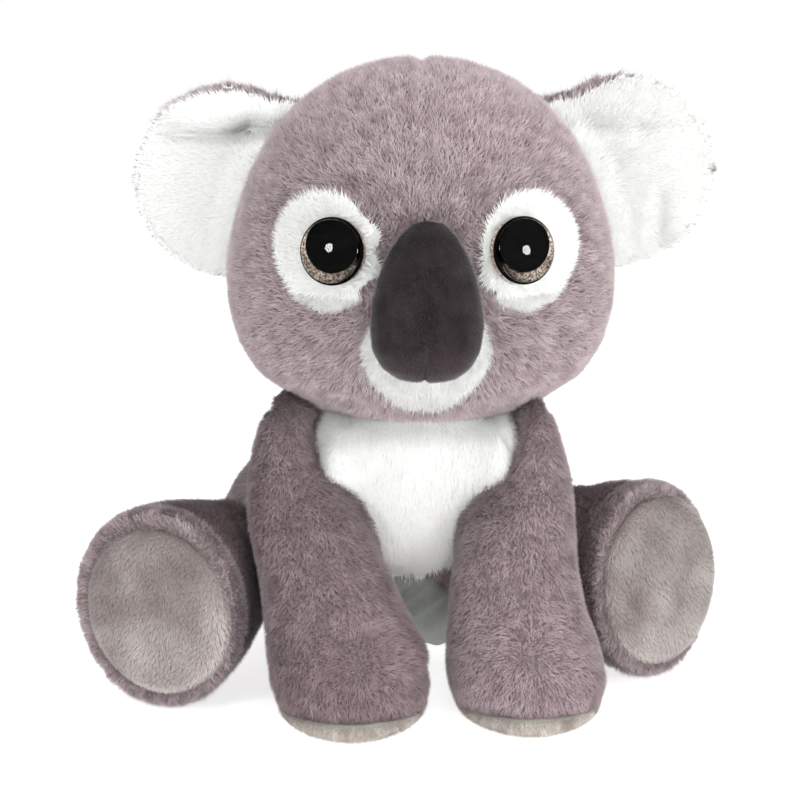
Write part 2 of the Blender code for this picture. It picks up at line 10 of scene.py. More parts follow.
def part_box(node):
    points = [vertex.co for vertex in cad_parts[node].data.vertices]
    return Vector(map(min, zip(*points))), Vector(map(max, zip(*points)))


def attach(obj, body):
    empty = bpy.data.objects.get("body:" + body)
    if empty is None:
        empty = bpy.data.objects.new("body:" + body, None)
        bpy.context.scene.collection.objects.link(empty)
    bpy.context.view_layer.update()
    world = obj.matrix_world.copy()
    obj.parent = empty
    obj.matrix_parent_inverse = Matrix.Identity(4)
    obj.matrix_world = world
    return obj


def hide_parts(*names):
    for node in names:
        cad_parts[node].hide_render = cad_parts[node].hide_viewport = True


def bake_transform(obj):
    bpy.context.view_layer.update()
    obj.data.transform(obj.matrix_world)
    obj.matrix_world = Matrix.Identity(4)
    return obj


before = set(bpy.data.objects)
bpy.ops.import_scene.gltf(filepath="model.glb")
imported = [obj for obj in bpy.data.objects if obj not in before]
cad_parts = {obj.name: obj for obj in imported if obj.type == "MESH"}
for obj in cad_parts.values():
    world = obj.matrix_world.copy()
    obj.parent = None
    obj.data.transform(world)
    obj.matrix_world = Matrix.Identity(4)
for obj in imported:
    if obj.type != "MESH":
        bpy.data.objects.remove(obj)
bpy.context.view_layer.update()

# View: the camera stands about a metre in front of the toy, a little above its face, in a white
# studio. One large soft light hangs above, weaker ones stand low in front and at the right, and
# a narrow one lifts the chest.
camera_elevation = radians(12)
camera_distance = 1.100
camera_target = Vector((-0.0014, -0.0010, 0.13564))
camera = bpy.data.objects.new("camera", bpy.data.cameras.new("camera"))
bpy.context.scene.collection.objects.link(camera)
camera.data.lens = 103.33
camera.data.sensor_width = 36
camera.location = camera_target + camera_distance * Vector(
    (0, -cos(camera_elevation), sin(camera_elevation))
)
camera.rotation_euler = (radians(90) - camera_elevation, 0, 0)
bpy.context.scene.camera = camera
bpy.context.scene.view_settings.view_transform = "Standard"


def fill(tree, node, inputs):
    """Gives a node its values and links, by the names of its inputs or in their order. A node
    among them stands for its first output."""
    for key, value in inputs.items() if isinstance(inputs, dict) else enumerate(inputs):
        if isinstance(value, bpy.types.Node):
            value = value.outputs[0]
        if isinstance(value, bpy.types.NodeSocket):
            tree.links.new(value, node.inputs[key])
        else:
            node.inputs[key].default_value = value
    return node


def add(tree, kind, inputs=(), **settings):
    """One node with its settings, its values and its links."""
    node = tree.nodes.new(kind)
    for name, value in settings.items():
        setattr(node, name, value)
    return fill(tree, node, inputs)


world = bpy.data.worlds.new("white studio")
world.use_nodes = True
studio = world.node_tree
# The white wall behind is lit more than what it gives back to the toy
seen = add(studio, "ShaderNodeLightPath")
strength = add(
    studio, "ShaderNodeMapRange",
    {"Value": seen.outputs["Is Camera Ray"], "To Min": 0.45, "To Max": 1.0},
)
fill(studio, studio.nodes["Background"], {"Color": (1, 1, 1, 1), "Strength": strength})
bpy.context.scene.world = world


def soft_light(name, place, width, height, power, aim=camera_target, in_eyes=False):
    """A soft lamp turned to its aim. The eyes mirror it only where it is meant for them."""
    light = bpy.data.lights.new(name, "AREA")
    light.shape = "RECTANGLE"
    light.size = width
    light.size_y = height
    light.energy = power
    lamp = bpy.data.objects.new(name, light)
    bpy.context.scene.collection.objects.link(lamp)
    lamp.location = place
    lamp.rotation_euler = (Vector(aim) - Vector(place)).to_track_quat("-Z", "Y").to_euler()
    lamp.visible_glossy = in_eyes
    return lamp


soft_light("top", (0.20, -0.25, 1.50), 1.3, 1.1, 20.0)
# A small lamp with a narrow beam lifts the chest and the arms under the head's shade
narrow = soft_light("chest fill", (0.20, -1.48, 0.10), 0.08, 0.08, 0.0045, (0.01, -0.05, 0.075))
narrow.data.spread = radians(8)
soft_light("right fill", (1.20, -0.70, 0.10), 0.6, 0.6, 1.0)
soft_light("front fill", (0.45, -1.45, 0.06), 1.2, 0.7, 7.6)
world.cycles_visibility.glossy = False

# Head: two cloth halves sewn over the crown, with two white eye patches and a white muzzle let
# in, turned and stuffed tight with polyester fibre. The seams stay low where the cloth is held.
toy_middle_x = 0.0084
voxel = 0.0036  # of the cloth forms before they are stuffed
seam_width = 0.0028  # half of the valley that a sewn seam pulls into the cloth
pile_depth = 0.0072  # from the outer tips of the pile to the cloth before it is stuffed
stuffing_swell = 0.0048  # how far the fibre pushes the cloth out again
stuffing_frames = 20


def per_point(piece, field):
    flat = np.empty(len(piece.data.vertices) * 3, np.float32)
    piece.data.vertices.foreach_get(field, flat)
    return flat.reshape(-1, 3).astype(float)


def points(piece):
    return per_point(piece, "co")


def outward(piece):
    return per_point(piece, "normal")


def put(piece, places):
    piece.data.vertices.foreach_set("co", np.asarray(places, np.float32).ravel())
    piece.data.update()


def note(piece, name, values):
    """Keeps one number or vector for each vertex on the piece."""
    values = np.asarray(values, np.float32)
    kind, field = ("FLOAT_VECTOR", "vector") if values.ndim == 2 else ("FLOAT", "value")
    attribute = piece.data.attributes.get(name) or piece.data.attributes.new(name, kind, "POINT")
    attribute.data.foreach_set(field, values.ravel())


def step(values, low, high):
    """0 below low, 1 above high, smooth between them."""
    t = np.clip((values - low) / (high - low), 0, 1)
    return t * t * (3 - 2 * t)


def new_piece(name, mesh):
    piece = bpy.data.objects.new(name, mesh)
    bpy.context.scene.collection.objects.link(piece)
    return piece


def piece_from(form, name):
    """A bmesh made a piece of its own."""
    mesh = bpy.data.meshes.new(name)
    form.to_mesh(mesh)
    form.free()
    return new_piece(name, mesh)


def kept(piece):
    """The piece with its modifiers made part of its mesh."""
    shaped = bpy.data.meshes.new_from_object(
        piece.evaluated_get(bpy.context.evaluated_depsgraph_get())
    )
    piece.modifiers.clear()
    piece.data = shaped
    shaped.name = piece.name
    return piece


def sewn_form(name, nodes, size=voxel, rounds=8):
    """One closed cloth form round the CAD solids of a stuffed part."""
    form = bmesh.new()
    for node in nodes:
        form.from_mesh(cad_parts[node].data)
    bmesh.ops.remove_doubles(form, verts=form.verts, dist=1e-6)
    piece = piece_from(form, name)
    weld = piece.modifiers.new("one cloth", "REMESH")
    weld.mode = "VOXEL"
    weld.voxel_size = size
    smooth = piece.modifiers.new("no steps", "SMOOTH")
    smooth.factor = 0.5
    smooth.iterations = rounds
    kept(piece)
    piece.data.shade_smooth()
    return piece


trees = {}


def distances(places, node):
    """How far each place is from a CAD node."""
    if node not in trees:
        form = bmesh.new()
        form.from_mesh(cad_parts[node].data)
        trees[node] = BVHTree.FromBMesh(form)
        form.free()
    return np.array([trees[node].find_nearest(p)[3] for p in places])


def nearest_of(places, nodes):
    return np.min([distances(places, n) for n in nodes], axis=0)


def seam_nearness(places, nodes):
    """1 on a seam between two of the nodes, falling to 0 away from it."""
    away = np.sort([distances(places, n) for n in nodes], axis=0)
    return np.exp(-(((away[1] - away[0]) / seam_width) ** 2))


def lean_to(places, white, grey):
    """Above 0 where the white nodes are nearer than the grey ones, below 0 elsewhere."""
    return nearest_of(places, grey) - nearest_of(places, white)


def stuff(skin, held, swell=stuffing_swell):
    """Fills the cloth form from inside: pressure swells it, and the seams hold it back."""
    rest = points(skin)
    seams = skin.vertex_groups.new(name="seams")
    for index, value in enumerate(held):
        seams.add([index], float(value), "REPLACE")
    cloth = skin.modifiers.new("stuffing", "CLOTH")
    cloth.settings.quality = 4
    cloth.settings.mass = 0.3
    cloth.settings.use_pressure = True
    cloth.settings.uniform_pressure_force = 4
    cloth.settings.bending_stiffness = 0.5
    cloth.settings.vertex_group_mass = "seams"
    cloth.settings.effector_weights.gravity = 0
    cloth.point_cache.frame_start = 1
    cloth.point_cache.frame_end = stuffing_frames
    for moment in range(1, stuffing_frames + 1):
        bpy.context.scene.frame_set(moment)
    kept(skin)
    bpy.context.scene.frame_set(1)
    out = outward(skin)
    moved = ((points(skin) - rest) * out).sum(1)
    # Where the cloth fills out or pulls tight against its usual swell, within its slack
    slack = np.clip(moved - np.average(moved, weights=1.001 - held), -0.3 * swell, 0.3 * swell)
    put(skin, rest + out * ((swell + slack) * (1 - held))[:, None])
    skin.vertex_groups.clear()


def linear(code):
    """An sRGB hex colour as linear values."""
    parts = [int(code[i : i + 2], 16) / 255 for i in (0, 2, 4)]
    return [p / 12.92 if p <= 0.04045 else ((p + 0.055) / 1.055) ** 2.4 for p in parts] + [1]


def finish_of(name):
    """A new material's tree and its Principled shader."""
    material = bpy.data.materials.new(name)
    material.use_nodes = True
    return material, material.node_tree, material.node_tree.nodes["Principled BSDF"]


def pile_finish(name, root, tip, dark, light, sheen):
    """Acrylic pile, brushed: matte fibres, dark at the root where no light comes, pale at the
    tip, with lighter and darker brushed patches and a faint sheen."""
    material, tree, shader = finish_of(name)
    tints = []
    for noted, low, high in (("rise", root, tip), ("tone", dark, light)):
        share = add(tree, "ShaderNodeAttribute", attribute_name=noted).outputs["Fac"]
        tint = add(
            tree, "ShaderNodeMix", {0: share, 6: linear(low), 7: linear(high)}, data_type="RGBA"
        )
        tints.append(tint.outputs[2])
    both = add(
        tree, "ShaderNodeMix", {0: 1.0, 6: tints[0], 7: tints[1]}, data_type="RGBA",
        blend_type="MULTIPLY",
    )
    fill(tree, shader, {
        "Base Color": both.outputs[2], "Roughness": 0.85, "Specular IOR Level": 0.25,
        "Sheen Weight": sheen, "Sheen Roughness": 0.5,
    })
    return material


# Mauve-grey pile: the dark roots show between the pale tips, so it looks deep and soft
grey_pile = pile_finish("mauve-grey acrylic pile", "6E6062", "DACACC", "C9C2C3", "FFFFFF", 0.2)

# Knitted backing of plush, matte and dyed as the pile on it, so it shows only as a ground
# between the tufts. It turns pale where the white cloth begins.
plush_backing, tree, shader = finish_of("knitted plush backing")
white_cloth = add(tree, "ShaderNodeAttribute", attribute_name="white")
share = add(
    tree, "ShaderNodeMath", (white_cloth.outputs["Fac"], 1500.0), operation="MULTIPLY",
    use_clamp=True,
)
mixed = add(
    tree, "ShaderNodeMix", {0: share, 6: linear("7C6D70"), 7: linear("E6E9E6")}, data_type="RGBA"
)
fill(tree, shader, {"Base Color": mixed.outputs[2], "Roughness": 0.95})

# One tuft of fibres: a closed three-sided spike, 4 points and 3 faces. "rise" is how far up the
# tuft a point is, "across" and "along" where it is on the ring at the root.
ring_turns = [radians(90), radians(210), radians(330)]
tuft_rise = [0, 0, 0, 1]
tuft_faces = [(0, 1, 3), (1, 2, 3), (2, 0, 3)]
tuft_mesh = bpy.data.meshes.new("tuft")
tuft_mesh.from_pydata([(cos(a), sin(a), 0) for a in ring_turns] + [(0, 0, 2)], [], tuft_faces)
tuft = bpy.data.objects.new("tuft", tuft_mesh)
note(tuft, "rise", np.array(tuft_rise))
note(tuft, "across", np.array([cos(a) for a in ring_turns] + [0]))
note(tuft, "along", np.array([sin(a) for a in ring_turns] + [0]))

# The sizes of the plush's usual pile, in metres. A piece whose pile differs says so as it grows
usual_pile = {
    "Tuft": tuft,
    "Finish": grey_pile,
    "Tufts per square metre": 2.5e6,
    "Pile length": 0.0045,
    "Tuft half width": 0.00022,
    "Lift": 0.70,
    "Lean": 0.66,
    "Strays": 0.85,
    "Lock size": 0.0022,
    "Lock pull": 0.55,
    "Swirl size": 0.009,
    "Swirl": 2.2,
    "Patch size": 0.0055,
    "Seed": 1,
}


def pile_tree():
    """Tufts that stand on cloth, lean the way it is combed, and gather into locks."""
    tree = bpy.data.node_groups.new("pile", "GeometryNodeTree")
    tree.interface.new_socket("Geometry", in_out="OUTPUT", socket_type="NodeSocketGeometry")
    tree.interface.new_socket("Geometry", in_out="INPUT", socket_type="NodeSocketGeometry")
    kinds = {"Tuft": "Object", "Finish": "Material", "Seed": "Int"}
    for name in usual_pile:
        kind = kinds.get(name, "Float")
        tree.interface.new_socket(name, in_out="INPUT", socket_type=f"NodeSocket{kind}")
    given = add(tree, "NodeGroupInput").outputs
    number, vector = "ShaderNodeMath", "ShaderNodeVectorMath"
    # What the skin and the tufts are noted with
    noted = {
        name: add(tree, "GeometryNodeInputNamedAttribute", {"Name": name}, data_type=kind)
        for kind, names in (
            ("FLOAT", ("thick", "tall", "unruly", "rise", "across", "along", "length")),
            ("FLOAT_VECTOR", ("comb", "root", "out", "way across", "way along", "flat", "gather")),
        )
        for name in names
    }
    density = add(
        tree, number, (given["Tufts per square metre"], noted["thick"]), operation="MULTIPLY"
    )
    scattered = add(
        tree, "GeometryNodeDistributePointsOnFaces",
        {"Mesh": given["Geometry"], "Density": density, "Seed": given["Seed"]},
    )
    place = add(tree, "GeometryNodeInputPosition")
    out = scattered.outputs["Normal"]
    # Each random value of a tuft is drawn with a seed of its own
    drawn = {}
    for name, kind, first, low, high, later in (
        ("stray", "FLOAT_VECTOR", 0, (-1, -1, -1), (1, 1, 1), 1),
        ("length", "FLOAT", 2, 0.7, 1.15, 3),
        ("chance", "FLOAT", 2, 0.0, 1.0, 4),
    ):
        seed = add(tree, number, (given["Seed"], later), operation="ADD")
        node = add(
            tree, "FunctionNodeRandomValue", {first: low, first + 1: high, "Seed": seed},
            data_type=kind,
        )
        drawn[name] = node.outputs[first // 2]
    # Patterns as wide as a swirl, a lock and a brushed patch
    patterns = []
    for kind, size, detail in (
        ("ShaderNodeTexNoise", "Swirl size", {"Detail": 1.0}),
        ("ShaderNodeTexVoronoi", "Lock size", {}),
        ("ShaderNodeTexNoise", "Patch size", {"Detail": 3.0}),
    ):
        scale = add(tree, number, (1.0, given[size]), operation="DIVIDE")
        patterns.append(add(tree, kind, {"Vector": place, "Scale": scale, **detail}))
    eddy, locks, brushed = patterns

    # Brushing leaves the pile lying a little to one side here and to the other there
    turned = add(tree, vector, (eddy.outputs["Color"], (0.5, 0.5, 0.5)), operation="SUBTRACT")
    turned = add(tree, vector, (turned, given["Swirl"]), operation="MULTIPLY")
    stray = add(tree, vector, (drawn["stray"], given["Strays"]), operation="MULTIPLY")
    loose = add(tree, vector, (turned, stray), operation="ADD")
    loose = add(tree, vector, (loose, noted["unruly"]), operation="MULTIPLY")
    comb = add(tree, vector, (noted["comb"], loose), operation="ADD")
    gather = add(tree, vector, (locks.outputs["Position"], place), operation="SUBTRACT")
    # Both ways are laid along the cloth
    laid = []
    for way in (comb, gather):
        upright = add(tree, vector, (way, out), operation="DOT_PRODUCT").outputs["Value"]
        upright = add(tree, vector, (out, upright), operation="MULTIPLY")
        laid.append(add(tree, vector, (way, upright), operation="SUBTRACT"))
    flat, gather = laid
    across = add(tree, vector, (out, flat), operation="CROSS_PRODUCT")
    across = add(tree, vector, (across,), operation="NORMALIZE")
    along = add(tree, vector, (across, out), operation="CROSS_PRODUCT")
    length = add(tree, number, (given["Pile length"], noted["tall"]), operation="MULTIPLY")
    length = add(tree, number, (length, drawn["length"]), operation="MULTIPLY")

    geometry = scattered
    for name, kind, value in (
        ("root", "FLOAT_VECTOR", place),
        ("out", "FLOAT_VECTOR", out),
        ("way across", "FLOAT_VECTOR", across),
        ("way along", "FLOAT_VECTOR", along),
        ("flat", "FLOAT_VECTOR", flat),
        ("gather", "FLOAT_VECTOR", gather),
        ("length", "FLOAT", length),
        ("tone", "FLOAT", brushed),
        ("chance", "FLOAT", drawn["chance"]),
    ):
        geometry = add(
            tree, "GeometryNodeStoreNamedAttribute",
            {"Geometry": geometry, "Name": name, "Value": value},
            data_type=kind, domain="POINT",
        )
    blade = add(tree, "GeometryNodeObjectInfo", {"Object": given["Tuft"]}).outputs["Geometry"]
    planted = add(tree, "GeometryNodeInstanceOnPoints", {"Points": geometry, "Instance": blade})
    real = add(tree, "GeometryNodeRealizeInstances", (planted,))

    # From its ring at the root a tuft goes up, lies over as it is combed, and goes to its lock
    moves = []
    for way, size, share in (
        ("out", noted["length"], given["Lift"]),
        ("flat", noted["length"], given["Lean"]),
        ("gather", given["Lock pull"], noted["unruly"]),
    ):
        amount = add(tree, number, (size, share), operation="MULTIPLY")
        amount = add(tree, number, (amount, noted["rise"]), operation="MULTIPLY")
        moves.append(add(tree, vector, (noted[way], amount), operation="MULTIPLY"))
    up, over, together = moves
    aside = add(tree, vector, (noted["way across"], noted["across"]), operation="MULTIPLY")
    ahead = add(tree, vector, (noted["way along"], noted["along"]), operation="MULTIPLY")
    ring = add(tree, vector, (aside, ahead), operation="ADD")
    ring = add(tree, vector, (ring, given["Tuft half width"]), operation="MULTIPLY")
    grown = add(tree, vector, (noted["root"], ring), operation="ADD")
    leaning = add(tree, vector, (up, over), operation="ADD")
    grown = add(tree, vector, (grown, leaning), operation="ADD")
    grown = add(tree, vector, (grown, together), operation="ADD")
    shaped = add(tree, "GeometryNodeSetPosition", {"Geometry": real, "Position": grown})
    finished = add(
        tree, "GeometryNodeSetMaterial", {"Geometry": shaped, "Material": given["Finish"]}
    )
    add(tree, "NodeGroupOutput", (finished,))
    return tree


pile = pile_tree()
floor_clearance = 0.0002  # nothing goes through the floor that the toy sits on


def grow(skin, **sizes):
    """Grows pile on a skin and gives the tufts as arrays, one row for each tuft."""
    growing = skin.copy()
    growing.data = skin.data.copy()
    bpy.context.scene.collection.objects.link(growing)
    grower = growing.modifiers.new("pile", "NODES")
    grower.node_group = pile
    wanted = dict(usual_pile, **{k.replace("_", " "): v for k, v in sizes.items()})
    for socket in pile.interface.items_tree:
        if socket.in_out == "INPUT" and socket.name in wanted:
            grower[socket.identifier] = wanted[socket.name]
    kept(growing)
    mesh = growing.data
    tufts = {"co": points(growing).reshape(-1, 4, 3)}
    for name in ("out", "root", "tone", "chance", "white"):
        attribute = mesh.attributes[name]
        vector = attribute.data_type == "FLOAT_VECTOR"
        flat = np.empty(len(mesh.vertices) * (3 if vector else 1), np.float32)
        attribute.data.foreach_get("vector" if vector else "value", flat)
        tufts[name] = flat.reshape((-1, 4, 3) if vector else (-1, 4))[:, 0]
    bpy.data.objects.remove(growing)
    tufts["co"][..., 2] = np.maximum(tufts["co"][..., 2], floor_clearance)
    return tufts


everything = slice(None)


def pile_piece(name, tufts, wanted, finish):
    """The wanted tufts as one piece."""
    co = tufts["co"][wanted]
    count = len(co)
    mesh = bpy.data.meshes.new(name)
    mesh.vertices.add(count * 4)
    mesh.vertices.foreach_set("co", co.astype(np.float32).ravel())
    mesh.loops.add(count * 9)
    ring = np.cross(co[:, 1] - co[:, 0], co[:, 3] - co[:, 0])
    turned_in = (ring * (co[:, :2].mean(1) - co[:, :3].mean(1))).sum(1) < 0
    faces = np.array(tuft_faces)
    corners = np.where(turned_in[:, None], faces[:, ::-1].ravel(), faces.ravel())
    mesh.loops.foreach_set(
        "vertex_index", (np.arange(count)[:, None] * 4 + corners).astype(np.int32).ravel()
    )
    mesh.polygons.add(count * 3)
    mesh.polygons.foreach_set("loop_start", np.arange(0, count * 9, 3, dtype=np.int32))
    mesh.update(calc_edges=True)
    piece = new_piece(name, mesh)
    mesh.materials.append(finish)
    note(piece, "rise", np.tile(tuft_rise, count))
    tone = tufts["tone"][wanted] * 2.6 - 0.8 + 0.4 * (tufts["chance"][wanted] - 0.5)
    note(piece, "tone", np.repeat(np.clip(tone, 0, 1), 4))
    # Light falls on pile as on the form under it, more than as on each side of a tuft
    radial = co - co[:, :3].mean(1)[:, None]
    radial[:, 3] = 0
    radial /= np.maximum(np.linalg.norm(radial, axis=2), 1e-9)[:, :, None]
    soft = 0.65 * tufts["out"][wanted][:, None] + 0.35 * radial
    mesh.normals_split_custom_set_from_vertices(soft.reshape(-1, 3).tolist())
    # Each tuft has its own cell of the baked picture, and each side a third of the cell
    side = int(np.ceil(np.sqrt(count)))
    third = np.array([(0.03, 0.04), (0.30, 0.04), (0.165, 0.96)])
    shape, shape_in = (
        np.concatenate([corners + (k / 3, 0) for k in range(3)]) for corners in (third, third[::-1])
    )
    shape = np.where(turned_in[:, None, None], shape_in, shape)
    cell = np.stack([np.arange(count) % side, np.arange(count) // side], axis=1)
    layer = mesh.uv_layers.new(name="OFBake")
    layer.uv.foreach_set(
        "vector", ((cell[:, None] + shape) / side).astype(np.float32).ravel()
    )
    return piece


def combed(skin, direction, thick, tall, white):
    """Notes on a skin the way its pile is combed, how thick and how long it is, and its colour."""
    normal = outward(skin)
    direction = direction - normal * (direction * normal).sum(1)[:, None]
    direction /= np.maximum(np.linalg.norm(direction, axis=1), 1e-6)[:, None]
    note(skin, "comb", direction)
    # White plush is brushed smooth, and the dyed plush is more ruffled
    unruly = np.where(np.asarray(white) > 0, 0.40, 1.0)
    for name, values in (("thick", thick), ("tall", tall), ("white", white), ("unruly", unruly)):
        note(skin, name, np.broadcast_to(values, len(normal)))


def neck_kept(free, depth):
    """The inward step of a skin, which keeps its height at the neck."""
    return np.stack([np.full(len(free), depth)] * 2 + [depth * free], axis=1)


head_grey = ("head_left", "head_right")
head_white = ("eye_patch_left", "eye_patch_right", "muzzle_patch")
head_skin = sewn_form("head_cloth", (*head_grey, *head_white, "head_filling"))
neck_height = 0.1370
muzzle_top = 0.198
places = points(head_skin)
free = step(places[:, 2], neck_height + 0.001, neck_height + 0.014)
held = seam_nearness(places, head_grey + head_white)
put(head_skin, places - outward(head_skin) * neck_kept(free, pile_depth))
stuff(head_skin, np.maximum(held * 0.6, 0.8 * (1 - free)))
places = points(head_skin)
nose_middle = np.array([0.0112, -0.0900, 0.1950])
bare = np.ones(len(places))
for node, gap in (("nose_cover", 0.0028), ("eye_disc_left", 0.0004), ("eye_disc_right", 0.0004)):
    bare *= step(distances(places, node), gap, gap + 0.0025)
front = 1 - step(places[:, 1], -0.020, 0.015)
white = lean_to(places, head_white, head_grey)
white = white - 0.0028 * (places[:, 2] > muzzle_top)
# The eye patches widen in round corners: two below the eyes towards the nose, one between the
# left eye and the nose, and a large one over the right cheek
for x, z, wide in (
    (-0.0150, 0.2105, 0.0055), (0.0400, 0.2075, 0.0060), (-0.0175, 0.2235, 0.0075),
    (0.0600, 0.2175, 0.0185),
):
    corner = wide - np.hypot(places[:, 0] - x, places[:, 2] - z)
    white = np.where(places[:, 1] < 0, np.maximum(white, corner), white)
near_eye = np.zeros(len(places))
# On the white patches the pile points away from the middle of the patch
direction = places - nose_middle
direction /= np.linalg.norm(direction, axis=1)[:, None]
for x, z in ((-0.0315, 0.2183), (0.0534, 0.2183)):
    round_eye = places - np.array([x, -0.075, z])
    reach = np.linalg.norm(round_eye, axis=1)
    share = (0.8 * (1 - step(reach, 0.024, 0.036)))[:, None]
    direction = direction * (1 - share) + share * round_eye / reach[:, None]
    # Next to the eye it lies over the edge of the disc, more so on the right
    over = np.linalg.norm(round_eye - [0.0018, 0, 0], axis=1)
    share = (1 - step(over, 0.0165, 0.0200))[:, None]
    direction = direction * (1 - share) - share * round_eye / reach[:, None]
    near_eye = np.maximum(near_eye, share[:, 0])
combed(
    head_skin,
    direction,
    (0.50 + 0.57 * front + 0.30 * (white > 0)) * bare,
    (0.80 + 0.20 * bare) * (1 - 0.18 * step(white, -0.001, 0.001)) * (1 + 0.9 * near_eye),
    white,
)
head_skin.data.materials.append(plush_backing)
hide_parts(*head_grey, "head_filling")
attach(head_skin, "head")
head_pile = grow(head_skin)
on_left = head_pile["root"][:, 0] < toy_middle_x
forward = head_pile["root"][:, 1] < -0.004
grey = head_pile["white"] < 0
for name, wanted in (
    ("head_pile_front_left", grey & forward & on_left),
    ("head_pile_front_right", grey & forward & ~on_left),
    ("head_pile_back_left", grey & ~forward & on_left),
    ("head_pile_back_right", grey & ~forward & ~on_left),
):
    piece = pile_piece(name, head_pile, wanted, grey_pile)
    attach(piece, "head")

# White patches: one round each eye and the muzzle, cut from the same plush in white and sewn
# into the face. Their pile is grown with the head's and parted from it by its colour.
# White pile throws light back between its tufts, so its root is nearly as pale as its tip.
white_pile = pile_finish("white acrylic pile", "EDEEEC", "F6F6F4", "F4F4F2", "FFFFFF", 0.1)
# On the muzzle the pile is cropped shorter, and coloured a little greyer: painted shade,
# as the muzzle lies in the nose's shade
shaded_muzzle_white = pile_finish("white acrylic pile, short", "D6D7D5", "E2E2E0", "E6E6E4", "FFFFFF", 0.1)
head_high = head_pile["root"][:, 2] > muzzle_top
for name, wanted, finish in (
    ("eye_patch_left", ~grey & head_high & on_left, white_pile),
    ("eye_patch_right", ~grey & head_high & ~on_left, white_pile),
    ("muzzle_patch", ~grey & ~head_high, shaded_muzzle_white),
):
    piece = pile_piece(f"{name}_pile", head_pile, wanted, finish)
    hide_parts(name)
    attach(piece, "head")

# Nose: a tall oval of dark short-pile velour, cut with a dart at its lower edge and stuffed
# hard as its own cushion before it is sewn on the face.
nose_middle_x = 0.0092
dart_top = 0.1805
nose = sewn_form("nose", ("nose_cover", "nose_filling"), 0.0018, 6)
places = points(nose)
sewn = 1 - step(nearest_of(places, head_grey), 0.0005, 0.0040)
put(nose, places - outward(nose) * 0.0016)
stuff(nose, sewn, 0.0008)
# It is a little taller and wider on its left side than its solid
places = points(nose)
places[:, 2] += 0.0014 * step(places[:, 2], 0.205, 0.235)
places[:, 0] -= 0.0014 * np.clip((nose_middle_x - places[:, 0]) / 0.018, 0, 1)
put(nose, places)
dart = np.exp(-(((places[:, 0] - nose_middle_x) / 0.0009) ** 2)) * step(
    -places[:, 2], -0.180, -0.170
)
put(nose, places - outward(nose) * (0.0010 * dart)[:, None])
combed(nose, np.broadcast_to([0.0, 0, -1], places.shape), 1 - 0.8 * dart, 1 - 0.6 * dart, 0)


def cloth_finish(name, colour, other):
    """Knitted cloth, matte, with a speckle as wide as a loop of its yarn, about 1.4 mm."""
    material, tree, shader = finish_of(name)
    place = add(tree, "ShaderNodeTexCoord")
    speckle = add(
        tree, "ShaderNodeTexNoise", {"Vector": place.outputs["Object"], "Scale": 700.0}
    )
    mixed = add(
        tree, "ShaderNodeMix", {0: speckle, 6: linear(colour), 7: linear(other)},
        data_type="RGBA",
    )
    fill(tree, shader, {"Base Color": mixed.outputs[2], "Roughness": 0.95})
    return material


# The nose's backing is dyed as its velour, so no pale ground shows between the short tufts
nose_backing = cloth_finish("dark knitted backing", "2C2528", "3A3236")
# Dark velour: nearly black fibres with a sheen, which turns them grey towards the light
nose_velour = pile_finish("dark velour", "241B1E", "4C3E42", "7E7577", "FFFFFF", 0.45)
nose.data.materials.append(nose_backing)
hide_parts("nose_cover", "nose_filling")
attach(nose, "head")
nose_pile = grow(
    nose, Pile_length=0.0015, Tuft_half_width=0.00020, Lock_size=0.0016, Lock_pull=0.25,
    Tufts_per_square_metre=4.8e6, Swirl_size=0.014, Swirl=2.2, Strays=0.40, Patch_size=0.010,
    Seed=3,
)
root = nose_pile["root"]
# Painted sheen: the pile is coloured paler round the lower edge, where the velour's sheen
# shows
nose_pile["tone"] += 0.36 * (1 - step(root[:, 2], 0.165, 0.181))
# No pile grows in the stitched dart, nor where the nose is sewn to the face
line = nose_middle_x + 0.0012 * np.sin((root[:, 2] - 0.162) / 0.022 * pi)
in_dart = (np.abs(root[:, 0] - line) < 0.0006) & (root[:, 2] < dart_top)
piece = pile_piece("nose_pile", nose_pile, (root[:, 1] < -0.066) & ~in_dart, nose_velour)
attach(piece, "head")

# Eyes: a moulded disc with champagne glitter, a raised black pupil set high on it, and a clear
# acrylic dome over both. The shank behind goes through the cloth into its washer.
dome_radius = 0.0143
dome_height = 0.0060
pupil_radius = 0.0119
pupil_height = 0.0022
pupil_raise = 0.0027
pupil_inwards = 0.0006
# The painted dark rim in section: radius, and height over the eye's flat base
dark_rim_profile = (
    (0.0140, 0.00010), (0.0140, 0.00040), (0.0148, 0.00040), (0.0151, 0.00010),
    (0.0151, -0.00080), (0.01503, -0.00080), (0.01503, 0.00010), (0.0140, 0.00010),
)
flash_distance = 1.1
flash_width = 0.21
flash_power = 2.8

# Clear acrylic is smooth and colourless, so it only mirrors the flash and shows what is below
clear_acrylic, tree, shader = finish_of("clear moulded acrylic")
fill(tree, shader, {
    "Base Color": (1, 1, 1, 1), "Roughness": 0.02, "IOR": 1.40, "Transmission Weight": 1.0,
})
# The black under the dome is dull, so that nothing but the dome's flash shines on it
black_acrylic, tree, shader = finish_of("black moulded acrylic")
fill(tree, shader, {
    "Base Color": linear("050505"), "Roughness": 0.5, "Specular IOR Level": 0.05,
})
